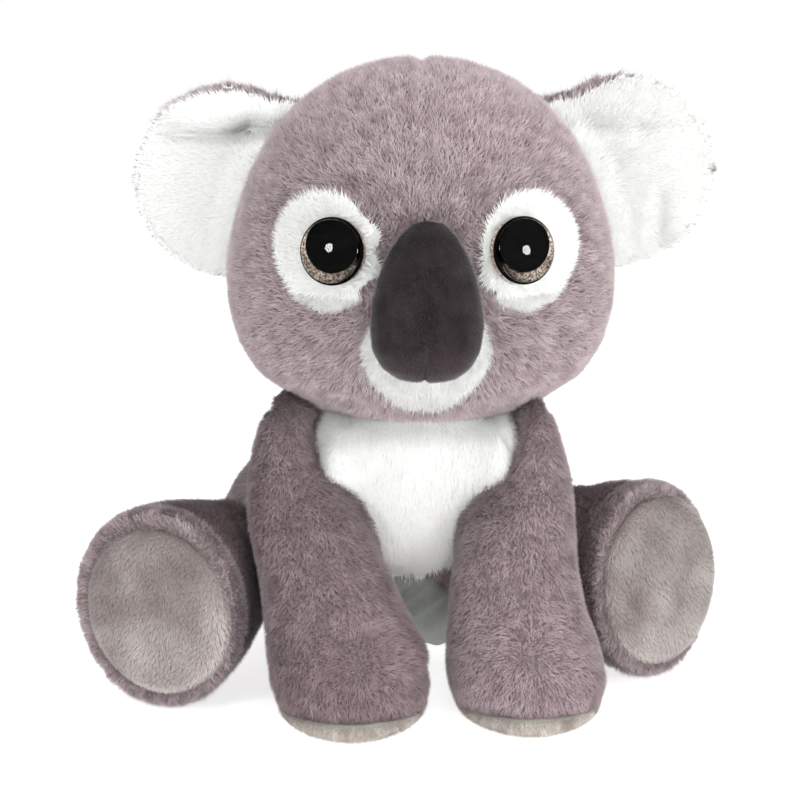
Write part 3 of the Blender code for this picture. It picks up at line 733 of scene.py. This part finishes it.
# Glitter: flakes about 0.6 mm wide, each with its own tilt and tint
glitter, tree, shader = finish_of("champagne glitter")
place = add(tree, "ShaderNodeTexCoord")
flakes = add(
    tree, "ShaderNodeTexVoronoi", {"Vector": place.outputs["Object"], "Scale": 1700.0}
)
flake = add(tree, "ShaderNodeSeparateColor", (flakes.outputs["Color"],))
tint = add(tree, "ShaderNodeValToRGB", (flake,))
tint.color_ramp.elements[0].color = linear("4A3E38")
tint.color_ramp.elements[1].color = linear("FFF6EA")
for position, code in ((0.30, "94806F"), (0.60, "D2BEAC"), (0.85, "F4E8DA")):
    tint.color_ramp.elements.new(position).color = linear(code)
tilt = add(
    tree, "ShaderNodeBump", {"Strength": 0.8, "Distance": 0.0003, "Height": flake.outputs[1]}
)
fill(tree, shader, {"Base Color": tint, "Normal": tilt, "Metallic": 0.8, "Roughness": 0.35})


def closed_rings(name, rings, finish):
    """One closed piece from rings of as many places each, or of a single place at an end."""
    form = bmesh.new()
    rings = [[form.verts.new(place) for place in ring] for ring in rings]
    for low, high in zip(rings, rings[1:]):
        for k in range(max(len(low), len(high))):
            after = k + 1
            corners = (
                low[k % len(low)], low[after % len(low)], high[after % len(high)],
                high[k % len(high)],
            )
            form.faces.new(list(dict.fromkeys(corners)))
    bmesh.ops.recalc_face_normals(form, faces=form.faces)
    piece = piece_from(form, name)
    piece.data.materials.append(finish)
    piece.data.shade_smooth()
    return piece


def turned(name, profile, at, facing, finish, turns=64):
    """A round part from its (radius, height) profile, closed where the radius is 0."""
    axis = Vector(facing).normalized()
    side = axis.cross(Vector((0, 0, 1))).normalized()
    top = side.cross(axis)
    rings = [
        [
            Vector(at) + axis * height
            + (side * cos(2 * pi * k / turns) + top * sin(2 * pi * k / turns)) * radius
            for k in range(turns if radius else 1)
        ]
        for radius, height in profile
    ]
    return closed_rings(name, rings, finish)


def domed(radius, foot, height):
    """The profile of a dome, from its foot up to its top."""
    curve = [radians(90) * k / 14 for k in range(14)]
    return [(radius * cos(a), foot + (height - foot) * sin(a)) for a in curve] + [(0, height)]


def eye_place(side):
    """Where an eye's flat base is and which way it faces, from its CAD dome."""
    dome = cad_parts[f"eye_lens_{side}"].data
    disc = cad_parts[f"eye_disc_{side}"].data
    middle = np.mean([v.co for v in dome.vertices], axis=0)
    rough = middle - np.mean([v.co for v in disc.vertices], axis=0)
    rough /= np.linalg.norm(rough)
    flat = [f for f in dome.polygons if np.dot(f.normal, rough) < -0.9]
    facing = -sum(np.array(f.normal) * f.area for f in flat)
    centre = sum(np.array(f.center) * f.area for f in flat) / sum(f.area for f in flat)
    return centre, facing / np.linalg.norm(facing)


for side, sign, flash_aside in (("left", 1, (0.10, 0, 0.09)), ("right", -1, (-0.19, 0, 0.0))):
    base, facing = eye_place(side)
    upward = np.array([0, 0, 1]) - facing * facing[2]
    inwards = np.cross(upward, facing) * sign
    inwards /= np.linalg.norm(inwards)
    dome = turned(
        f"eye_dome_{side}",
        [(0, 0), (dome_radius - 0.0004, 0), (dome_radius, 0.0003)]
        + domed(dome_radius, 0.0006, dome_height),
        base, facing, clear_acrylic,
    )
    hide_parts(f"eye_lens_{side}")
    pupil = turned(
        f"eye_pupil_{side}",
        [(0, 0.0002), (pupil_radius, 0.0002)] + domed(pupil_radius, 0.0005, pupil_height),
        base + upward * pupil_raise + inwards * pupil_inwards, facing, black_acrylic,
    )
    # A thin black ring round the eye's edge: painted shade, for the dark rim that the dome's
    # side wall shows by refraction
    ring = turned(f"eye_ring_{side}", dark_rim_profile, base, facing, black_acrylic)
    # A round flash stands where its reflection falls near the middle of this eye
    to_camera = np.array(camera.location) - base
    to_camera /= np.linalg.norm(to_camera)
    mirrored = 2 * (to_camera @ facing) * facing - to_camera
    flash = soft_light(
        f"flash_{side}", base + flash_distance * mirrored + np.array(flash_aside),
        flash_width, flash_width, flash_power, in_eyes=True,
    )
    flash.data.shape = "DISK"
    for piece in (dome, pupil, ring):
        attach(piece, "head")
    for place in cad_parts[f"eye_disc_{side}"].material_slots:
        place.material = glitter

# Ears: two round cloths, white in front and grey behind, sewn round the rim, turned, filled with
# thin wadding and sewn into the sides of the head.
ear_reach = 0.0080  # how far an ear goes on into the head, under its pile
ear_band = 0.009  # how much of an ear is drawn in with its end
ear_root = (0.007, 0.236)  # y and z of the seam that an ear bends at
ear_radius = 0.0455
dish_radius = 0.048  # of the hollow in the front of an ear
# Longer white pile with more sheen, coloured paler than the face's: painted light, which
# lifts the chest and the left ear where they lie in shade
painted_light_white = pile_finish("white acrylic pile, longer", "FAFAF8", "FFFFFF", "FAFAF8", "FFFFFF", 0.45)
for side, sign, ear_middle, rim_roll, ear_white in (
    ("left", -1, (-0.0816, 0.240), 0.0026, painted_light_white),
    ("right", 1, (0.1019, 0.245), 0.0034, white_pile),
):
    front_node, back_node = f"ear_front_{side}", f"ear_back_{side}"
    ear = sewn_form(f"ear_cloth_{side}", (front_node, back_node, f"ear_wadding_{side}"), 0.0026, 6)
    places = points(ear)
    away = nearest_of(places, head_grey)
    held = seam_nearness(places, (front_node, back_node))
    free = step(away, 0.002, 0.010)
    put(ear, places - outward(ear) * (0.0052 * free)[:, None])
    stuff(ear, np.maximum(held * 0.4, 1 - free), 0.0022)
    places = points(ear)
    places[:, 0] -= sign * ((1 - step(away, ear_band * 0.2, ear_band)) * ear_reach)
    white = lean_to(points(ear), (front_node,), (back_node,))
    # Along the top, near the head, the grey back rolls forward over the rim
    rolled = step(places[:, 2], 0.262, 0.272) * step(-sign * places[:, 0], -0.125, -0.085)
    shown = 0.0014 - (0.0010 * step(places[:, 2], 0.232, 0.252) if side == "left" else 0)
    white = white - rim_roll * rolled + shown * (1 - rolled)
    # The rim comes out to its full round, and the front is hollow like a dish inside it
    from_middle = places[:, [0, 2]] - ear_middle
    off = np.hypot(from_middle[:, 0], from_middle[:, 1])
    grown = ear_radius / off[free > 0.9].max()
    places[:, [0, 2]] = ear_middle + from_middle * (1 + (grown - 1) * free)[:, None]
    off = off * grown / dish_radius
    facing = outward(ear)[:, 1] < 0
    places[:, 1] += np.where(facing, 0.0035 * np.clip(1 - off**2, 0, 1) * free, 0)
    if side == "left":
        # A pleat under the rim: the edge is folded over and shades a pocket below it
        fold = 0.2620 + 0.0020 * np.sin((places[:, 0] + 0.06) / 0.05 * pi)
        span = step(places[:, 0], -0.118, -0.108) * (1 - step(places[:, 0], -0.062, -0.056))
        pocket = np.exp(-(((places[:, 0] + 0.0715) / 0.0090) ** 2))
        deep = 0.0035 + 0.0040 * pocket
        below = places[:, 2] - fold - 0.002 * pocket
        groove = np.exp(-((below / (0.0022 + 0.0022 * pocket)) ** 2))
        above = np.exp(-(((places[:, 2] - fold - 0.0100) / 0.0070) ** 2)) * span
        places[:, 1] += np.where(facing, deep * groove * span - 0.0045 * above, 0)
        parting = np.exp(-((below / 0.0016) ** 2)) * span
    else:
        # A soft fold under the rim, and a crease down the outer side
        fold = 0.2650
        span = step(places[:, 0], 0.076, 0.086) * (1 - step(places[:, 0], 0.110, 0.122))
        groove = np.exp(-(((places[:, 2] - fold) / 0.0040) ** 2)) * span
        places[:, 1] += np.where(facing, 0.0028 * groove, 0)
        parting = 0.5 * groove
        crease = np.exp(-(((places[:, 0] - 0.121) / 0.0040) ** 2)) * step(
            places[:, 2], 0.205, 0.215
        ) * (1 - step(places[:, 2], 0.232, 0.242))
        places[:, 1] += np.where(facing, 0.0022 * crease, 0)
    put(ear, places)
    places = points(ear)
    thick = (0.85 + 0.55 * facing) * (1 - 0.75 * parting * facing)
    combed(ear, places - np.array([sign * 0.066 + toy_middle_x, *ear_root]), thick, 0.88, white)
    ear.data.materials.append(plush_backing)
    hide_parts(front_node, back_node, f"ear_wadding_{side}")
    ear_pile = grow(ear, Seed=11 + (sign > 0), Lift=0.55)
    front_pile = ear_pile["white"] > 0
    # Grey tufts that come through to the front at the outer end of the seam are trimmed
    root_x, root_z = ear_pile["root"][:, 0], ear_pile["root"][:, 2]
    back_pile = ~front_pile & (np.hypot(root_x - sign * 0.1465, root_z - 0.2470) > 0.006)
    for piece, named in (
        (ear, "white_fur"),
        (pile_piece(f"ear_pile_front_{side}", ear_pile, front_pile, ear_white), "white_fur"),
        (pile_piece(f"ear_pile_back_{side}", ear_pile, back_pile, grey_pile), "grey_fur"),
    ):
        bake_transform(piece)

# Trunk: two grey plush halves joined down the back, a white plush panel let in at the chest and
# a plain cloth panel below it, stuffed with fibre. It sits flat where it rests on the floor.
trunk_grey = ("trunk_left", "trunk_right")
trunk_plush = (*trunk_grey, "chest_panel")
trunk_skin = sewn_form("trunk_cloth", (*trunk_plush, "seat_panel", "trunk_filling"))
places = points(trunk_skin)
free = 1 - step(places[:, 2], neck_height - 0.014, neck_height - 0.001)
held = seam_nearness(places, (*trunk_plush, "seat_panel"))
raised = 0.30 + 0.70 * step(places[:, 2], 0.002, 0.020)
put(trunk_skin, places - outward(trunk_skin) * neck_kept(free, pile_depth) * raised[:, None])
on_floor = 1 - step(places[:, 2], 0.003, 0.015)
stuff(trunk_skin, np.maximum.reduce([held * 0.6, 0.8 * (1 - free), on_floor]))
places = points(trunk_skin)
white = lean_to(places, ("chest_panel",), trunk_grey)
white += 0.0060 * step(places[:, 2], 0.104, 0.118) * (places[:, 1] < 0)
plain = lean_to(places, ("seat_panel",), trunk_plush)
front = 1 - step(places[:, 1], -0.010, 0.030)
combed(
    trunk_skin,
    np.broadcast_to([0.0, 0, -1], places.shape),
    (0.42 + 0.58 * front + 0.30 * (white > 0)) * (1 - step(plain, -0.001, 0.001)),
    1.0,
    white,
)
note(trunk_skin, "plain", plain)
# The chest comes forward to the arms at its upper corners, where they are sewn to it
corner = np.exp(-(((np.abs(places[:, 0] - toy_middle_x) - 0.0420) / 0.0140) ** 2))
corner *= step(places[:, 2], 0.092, 0.112) * (1 - step(places[:, 2], 0.130, 0.140))
corner *= places[:, 1] < 0
put(trunk_skin, places - np.array([0, 0.0145, 0]) * corner[:, None])
trunk_skin.data.materials.append(plush_backing)
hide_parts(*trunk_grey, "trunk_filling")
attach(trunk_skin, "trunk")
trunk_pile = grow(trunk_skin, Seed=21)
chest = trunk_pile["white"] > 0
forward = trunk_pile["root"][:, 1] < 0.020
for name, wanted, finish, named in (
    ("trunk_pile_front", ~chest & forward, grey_pile, "grey_fur"),
    ("trunk_pile_back", ~chest & ~forward, grey_pile, "grey_fur"),
    ("chest_pile", chest, painted_light_white, "white_fur"),
):
    piece = pile_piece(name, trunk_pile, wanted, finish)
    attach(piece, "trunk")
    if chest is wanted:
        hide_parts("chest_panel")

# Seat panel: plain grey-green knitted cloth between the legs, sewn in below the chest. It is a
# little slack, so it folds.
seat_finish = cloth_finish("grey-green knitted cloth", "878B86", "9EA29B")
patch = bmesh.new()
patch.from_mesh(trunk_skin.data)
patch.verts.ensure_lookup_table()
bmesh.ops.delete(
    patch,
    geom=[f for f in patch.faces if np.mean([plain[v.index] for v in f.verts]) < -0.003],
    context="FACES",
)
seat = piece_from(patch, "seat_panel_cloth")
for name in ("comb", "thick", "tall", "white", "unruly"):
    seat.data.attributes.remove(seat.data.attributes[name])
finer = seat.modifiers.new("finer", "SUBSURF")
finer.levels = finer.render_levels = 1
kept(seat)
places = points(seat)
slack = (
    np.sin(places[:, 0] * 420 + 9 * np.sin(places[:, 2] * 60) + places[:, 1] * 130)
    + 0.6 * np.sin(places[:, 0] * 230 - places[:, 2] * 310)
)
inside = np.empty(len(places), np.float32)
seat.data.attributes["plain"].data.foreach_get("value", inside)
# Its upper edge is sewn in under the pile of the chest
sunk = 1 - step(inside, -0.0005, 0.0040)
put(seat, places + outward(seat) * (0.0014 + 0.0008 * slack - 0.0034 * sunk)[:, None])
seat.data.attributes.remove(seat.data.attributes["plain"])
wall = seat.modifiers.new("cloth", "SOLIDIFY")
wall.thickness = 0.0010
kept(seat)
places = points(seat)
places[:, 2] = np.maximum(places[:, 2], floor_clearance)
put(seat, places)
seat.data.materials.clear()
seat.data.materials.append(seat_finish)
seat.data.shade_smooth()
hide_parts("seat_panel")
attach(seat, "trunk")

# Arms: a grey plush tube with a rounded paw, stuffed, closed below by a pale velour sole and
# sewn to the trunk under the neck. Hand stitches pull small creases into the paw.
layer_height = 0.004
arm_rise = 0.0125  # how far the top of an arm fills the shoulder under the head
pile_edge = 0.0062  # the lower edge of an arm's pile, above the floor
# Heights at which an arm is drawn in on the chest's side
inset_heights = (0.088, 0.0976, 0.1044, 0.1136, 0.122, 0.1287, 0.138)
# On the arms the pile is coloured a little darker than the head's: painted shade, as the
# arms get less light
shaded_arm_pile = pile_finish("mauve-grey acrylic pile, lying", "685A5D", "CDB9BD", "C9C2C3", "FFFFFF", 0.2)
# The sole's knitted backing is pale like its velour and shows at the turned rim
sole_backing = cloth_finish("pale knitted backing", "93938B", "A5A59D")
# Short-pile velour: even and matte, nearly white where it is brushed up
sole_velour = pile_finish("pale short-pile velour", "B9AFA8", "EFE7DF", "BDB7B1", "FFFFFF", 0.3)
sole_turns = 96
# The rim of the sole in section: share of its half width, and height
sole_profile = (
    (0, 0.0004), (0.50, 0.0004), (0.88, 0.0004), (0.93, 0.0007), (0.965, 0.0015), (0.985, 0.0028),
    (0.985, 0.0042), (0.97, 0.0056), (0.94, 0.0068), (0.90, 0.0075), (0.80, 0.0078), (0, 0.0078),
)


def from_crease(places, crease):
    """How far each place is from a crease's line, seen from the front."""
    (x0, z0), (x1, z1) = crease
    share = np.clip((places[:, 2] - z0) / (z1 - z0), 0, 1)
    return np.hypot(
        places[:, 0] - x0 - (x1 - x0) * share, places[:, 2] - z0 - (z1 - z0) * share
    )


for side, sign, shoulder, tuck, outer_slope, insets, paler, paw_shade, creases in (
    (
        "left", -1, (-0.0556, -0.019, 0.126), (-0.0130, -0.0990, 0.0340), 0.0050,
        (-0.0028, -0.0040, -0.0044, 0.0048, 0.0058, 0.0015, -0.0010),
        -0.06, 0.12, (((-0.013, 0.036), (-0.011, 0.012)),),
    ),
    (
        "right", 1, (0.0624, -0.019, 0.126), (0.0580, -0.0940, 0.0360), 0.0085,
        (0.0005, 0.0055, 0.0075, 0.0095, 0.0100, 0.0100, -0.0010),
        0.10, 0.0,
        (((0.0460, 0.1000), (0.0580, 0.0380)), ((0.0580, 0.0380), (0.0620, 0.0140))),
    ),
):
    arm = sewn_form(f"arm_cloth_{side}", (f"arm_{side}", f"paw_sole_{side}", f"arm_filling_{side}"))
    places = points(arm)
    free = step(nearest_of(places, trunk_plush), 0.002, 0.009)
    sole_seam = np.exp(-(((places[:, 2] - 0.0080) / 0.0025) ** 2))
    off_floor = step(places[:, 2], 0.002, 0.014)
    put(arm, places - outward(arm) * (pile_depth * free * (0.25 + 0.75 * off_floor))[:, None])
    stuff(arm, np.maximum.reduce([1 - free, sole_seam * 0.5, 1 - off_floor]))
    places = points(arm)
    # The sewn end goes on into the trunk
    places = places + (1 - free)[:, None] * np.array([-sign * 0.003, 0.005, -0.001])
    # Under the head the arm narrows on the chest's side, and its top fills the shoulder
    for low in np.arange(0.028, 0.160, layer_height):
        layer = (places[:, 2] >= low) & (places[:, 2] < low + layer_height)
        if layer.any():
            x = places[layer, 0] * -sign
            width = max(x.max() - x.min(), 1e-6)
            inside = (x - x.min()) / width
            pinch = min(1, width / 0.030)
            height = places[layer, 2]
            inset = np.interp(height, inset_heights, insets)
            places[layer, 0] += sign * pinch * inset * inside
            places[layer, 0] -= sign * pinch * outer_slope * (1 - inside) * step(height, 0.104, 0.134)
    places[:, 2] += arm_rise * step(places[:, 2], 0.104, 0.130)
    for line in creases:
        crease = np.exp(-((from_crease(places, line) / 0.0032) ** 2))
        crease *= 1 - step(places[:, 1], -0.045, -0.020)
        places = places - outward(arm) * (0.0020 * crease)[:, None]
    put(arm, places)
    places = points(arm)
    shoulder = np.array(shoulder)
    paw = np.array([places[:, 0][places[:, 2] < 0.03].mean(), -0.070, 0.0])
    along = (paw - shoulder) / np.linalg.norm(paw - shoulder)
    radial = places - np.array(tuck)
    reach = np.linalg.norm(radial, axis=1)
    near = 0.65 * (1 - step(reach, 0.012, 0.040))[:, None]
    direction = along * (1 - near) + near * radial / np.maximum(reach, 1e-5)[:, None]
    front = 1 - step(places[:, 1], -0.050, 0.0)
    # The lower edge of the pile rises in the middle of the paw, over the sole's rounded rim
    edge = pile_edge + 0.0010 * np.exp(-(((places[:, 0] - paw[0]) / 0.0220) ** 2))
    above_edge = step(places[:, 2] - edge, -0.0010, 0.0010)
    at_edge = 1 - step(places[:, 2] - edge, 0.002, 0.009)
    hanging = outward(arm) * [1, 1, 0] + [0, 0, -0.9]
    direction = direction * (1 - 0.8 * at_edge)[:, None] + hanging * at_edge[:, None]
    tall = 0.92 - 0.12 * at_edge - 0.25 * step(places[:, 2], 0.132, 0.148)
    combed(arm, direction, (0.60 + 0.45 * front) * above_edge, tall, 0)
    arm.data.materials.append(plush_backing)
    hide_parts(f"arm_{side}", f"arm_filling_{side}")
    arm_pile = grow(arm, Seed=31 + (sign > 0))
    # The pile parts along the creases that the hand stitches pull
    root = arm_pile["root"]
    for line in creases:
        parted = (from_crease(root, line) < 0.0010) & (arm_pile["chance"] < 0.85)
        arm_pile["chance"] = np.where(parted & (root[:, 1] < -0.02), -1, arm_pile["chance"])
    # Painted light and shade: the right arm's pile is coloured paler and the left arm's darker, as
    # the light falls from the right, and the left paw is darkened more
    arm_pile["tone"] += paler
    arm_pile["tone"] -= paw_shade * (1 - step(root[:, 2], 0.030, 0.055))
    pile_of_arm = pile_piece(f"arm_pile_{side}", arm_pile, arm_pile["chance"] >= 0, shaded_arm_pile)
    for piece in (arm, pile_of_arm):
        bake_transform(piece)

    low_corner, high_corner = (np.array(c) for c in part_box(f"paw_sole_{side}"))
    centre = (low_corner + high_corner) / 2
    half = (high_corner - low_corner) / 2 - [0.0030, -0.0016, 0]
    rings = []
    for r, high in sole_profile:
        ring = []
        for k in range(sole_turns if r else 1):
            c, n = cos(2 * pi * k / sole_turns), sin(2 * pi * k / sole_turns)
            # The sole curls up at its sides, off the floor
            curl = (0.0058 - 0.70 * high) * c * c * r**6
            ring.append((
                centre[0] + half[0] * r * c, centre[1] - 0.0020 + half[1] * r * n, high + curl,
            ))
        rings.append(ring)
    sole = closed_rings(f"paw_sole_cloth_{side}", rings, sole_backing)
    normal = outward(sole)
    rim = 1 - step(np.abs(normal[:, 2]), 0.75, 0.95)
    combed(sole, normal * [1, 1, 0] + [0, 0, -0.5], rim, 1, 0)
    sole_pile = grow(
        sole, Pile_length=0.0030, Tuft_half_width=0.00020, Lock_size=0.0020, Lock_pull=0.3,
        Tufts_per_square_metre=6.0e6, Strays=0.4, Lift=0.5, Seed=36 + (sign > 0),
    )
    pile_of_sole = pile_piece(f"paw_sole_pile_{side}", sole_pile, everything, sole_velour)
    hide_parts(f"paw_sole_{side}")
    for piece in (sole, pile_of_sole):
        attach(piece, f"{side}_arm")

# Legs: a grey plush tube that lies on the floor and points outwards, closed by a flat oval sole
# of mottled velour, stuffed and sewn to the side of the trunk.
pad_crown = 0.0022
pad_edge = 0.0030  # how far the edge of the pad goes down into its seam
pad_rings = 26
pad_depth = 0.0060
# The pad in section: share of its half width, and height over its seam
pad_profile = [
    (r, pad_crown * (1 - r**3) - pad_edge * step(r, 0.90, 1.0))
    for r in (k / (pad_rings - 1) for k in range(pad_rings))
]
pad_profile += [(0.9, -pad_depth), (0.0, -pad_depth)]
# The tubes lie in the toy's own shade, and their pile looks darker down to its tips
shaded_pile = pile_finish(
    "mauve-grey acrylic pile, in shade", "4E4144", "A38D91", "C9C2C3", "FFFFFF", 0.2
)
# The pad's backing is taupe like its velour, so the mottling goes on between the tufts
foot_backing = cloth_finish("taupe knitted backing", "7E7370", "8E8480")
# Mottled velour: short matte pile, pale and dark by the way that each patch was stroked
foot_velour = pile_finish("mottled short-pile velour", "9A8F8C", "DBD3CF", "A9A19E", "FFFFFF", 0.3)
for side, sign, hip, out, pad_aside, pad_half_width, pad_half_height in (
    (
        "left", -1, (-0.089468, -0.00218, 0.078), (-0.438371, -0.898794, 0.0),
        0.0026, 0.0376, 0.0391,
    ),
    (
        "right", 1, (0.086779, 0.029025, 0.073489), (0.678262, -0.727345, 0.104528),
        0.0014, 0.0398, 0.0404,
    ),
):
    leg = sewn_form(f"leg_cloth_{side}", (f"leg_{side}", f"foot_sole_{side}", f"leg_filling_{side}"))
    out = np.array(out)
    middle = np.mean([v.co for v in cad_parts[f"foot_sole_{side}"].data.vertices], axis=0)
    places = points(leg)
    free = step(nearest_of(places, trunk_grey), 0.002, 0.009)
    rim = np.exp(-((distances(places, f"foot_sole_{side}") / 0.0030) ** 2)) * step(
        np.linalg.norm(np.cross(places - middle, out), axis=1), 0.020, 0.030
    )
    put(leg, places - outward(leg) * (pile_depth * free)[:, None])
    stuff(leg, np.maximum(1 - free, rim * 0.5))
    places = points(leg)
    # The sewn end goes on into the trunk
    places = places + (1 - free)[:, None] * np.array([-sign * 0.005, 0.001, 0])
    # A seam runs round the tube behind the fat rim of the sole
    depth = (places - middle) @ out
    behind_rim = np.exp(-(((depth + 0.0190) / 0.0028) ** 2))
    roll = np.exp(-(((depth + 0.0065) / 0.0075) ** 2))
    put(leg, places + outward(leg) * (0.0020 * roll - 0.0026 * behind_rim)[:, None])
    places = points(leg)
    depth = (places - middle) @ out
    radial = places - middle - depth[:, None] * out
    span = np.linalg.norm(radial, axis=1)
    flare = step(depth, -0.016, -0.002)[:, None]
    direction = out * (1 - 0.7 * flare) + radial / np.maximum(span, 1e-5)[:, None] * flare
    across = np.cross([0, 0, 1], out)
    across /= np.linalg.norm(across)
    upward = np.cross(out, across)
    aside = radial @ across - pad_aside
    share = np.hypot(aside / pad_half_width, radial @ upward / pad_half_height)
    # The cloth rolls forward round the pad's seam
    rolls = np.exp(-(((share - 1.13) / 0.09) ** 2)) * step(depth, -0.012, -0.006)
    put(leg, places + out * (0.0022 * rolls)[:, None])
    middle = middle + across * pad_aside
    on_sole = step(depth, -0.0110, -0.0080) * (1 - step(share, 0.99, 1.03))
    flare = flare[:, 0]
    combed(leg, direction, (1 - on_sole) * (0.60 + 0.55 * flare), 1.0 - 0.22 * flare, 0)
    leg.data.materials.append(plush_backing)
    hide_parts(f"leg_{side}", f"leg_filling_{side}")
    leg_pile = grow(leg, Seed=41 + (sign > 0))
    on_rim = (leg_pile["root"] - middle) @ out > -0.0175
    pile_of_leg = pile_piece(f"leg_pile_{side}", leg_pile, ~on_rim, shaded_pile)
    pile_of_rim = pile_piece(f"foot_rim_pile_{side}", leg_pile, on_rim, grey_pile)
    hip = Vector(hip)
    for piece in (leg, pile_of_leg, pile_of_rim):
        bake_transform(piece)

    rings = [
        [
            middle + out * high
            + across * (pad_half_width * r * cos(2 * pi * k / sole_turns))
            + upward * (pad_half_height * r * sin(2 * pi * k / sole_turns))
            for k in range(sole_turns if r else 1)
        ]
        for r, high in pad_profile
    ]
    sole = closed_rings(f"foot_sole_cloth_{side}", rings, foot_backing)
    places = points(sole)
    depth = (places - middle) @ out
    combed(sole, np.broadcast_to(-upward, places.shape), step(depth, -0.0045, -0.0030), 1, 0)
    sole_pile = grow(
        sole, Pile_length=0.0026, Tuft_half_width=0.00022, Lock_size=0.0020, Lock_pull=0.3,
        Tufts_per_square_metre=3.2e6, Swirl_size=0.026, Swirl=2.6, Strays=0.4, Patch_size=0.020,
        Seed=51 + (sign > 0),
    )
    # The velour is paler towards one lower corner
    corner = (sole_pile["root"] - middle) @ (0.4 * across - 0.9 * upward)
    sole_pile["tone"] = 0.50 + 0.55 * (sole_pile["tone"] - 0.5) + 0.20 * step(corner, -0.010, 0.030)
    pile_of_sole = pile_piece(f"foot_sole_pile_{side}", sole_pile, everything, foot_velour)
    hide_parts(f"foot_sole_{side}")
    for piece in (sole, pile_of_sole):
        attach(piece, f"{side}_leg")

# Floor: a plain pale board, part of the studio. It shines a little of its own, so that it is as
# white as the wall behind it.
floor_mesh = bpy.data.meshes.new("floor")
floor_mesh.from_pydata([(-3, -3, 0), (3, -3, 0), (3, 3, 0), (-3, 3, 0)], [], [(0, 1, 2, 3)])
floor = new_piece("floor", floor_mesh)
floor_finish, tree, shader = finish_of("pale floor")
fill(tree, shader, {
    "Base Color": (0.95, 0.95, 0.95, 1), "Roughness": 0.9,
    "Emission Color": (1, 1, 1, 1), "Emission Strength": 0.72,
})
floor_mesh.materials.append(floor_finish)
floor.visible_glossy = False
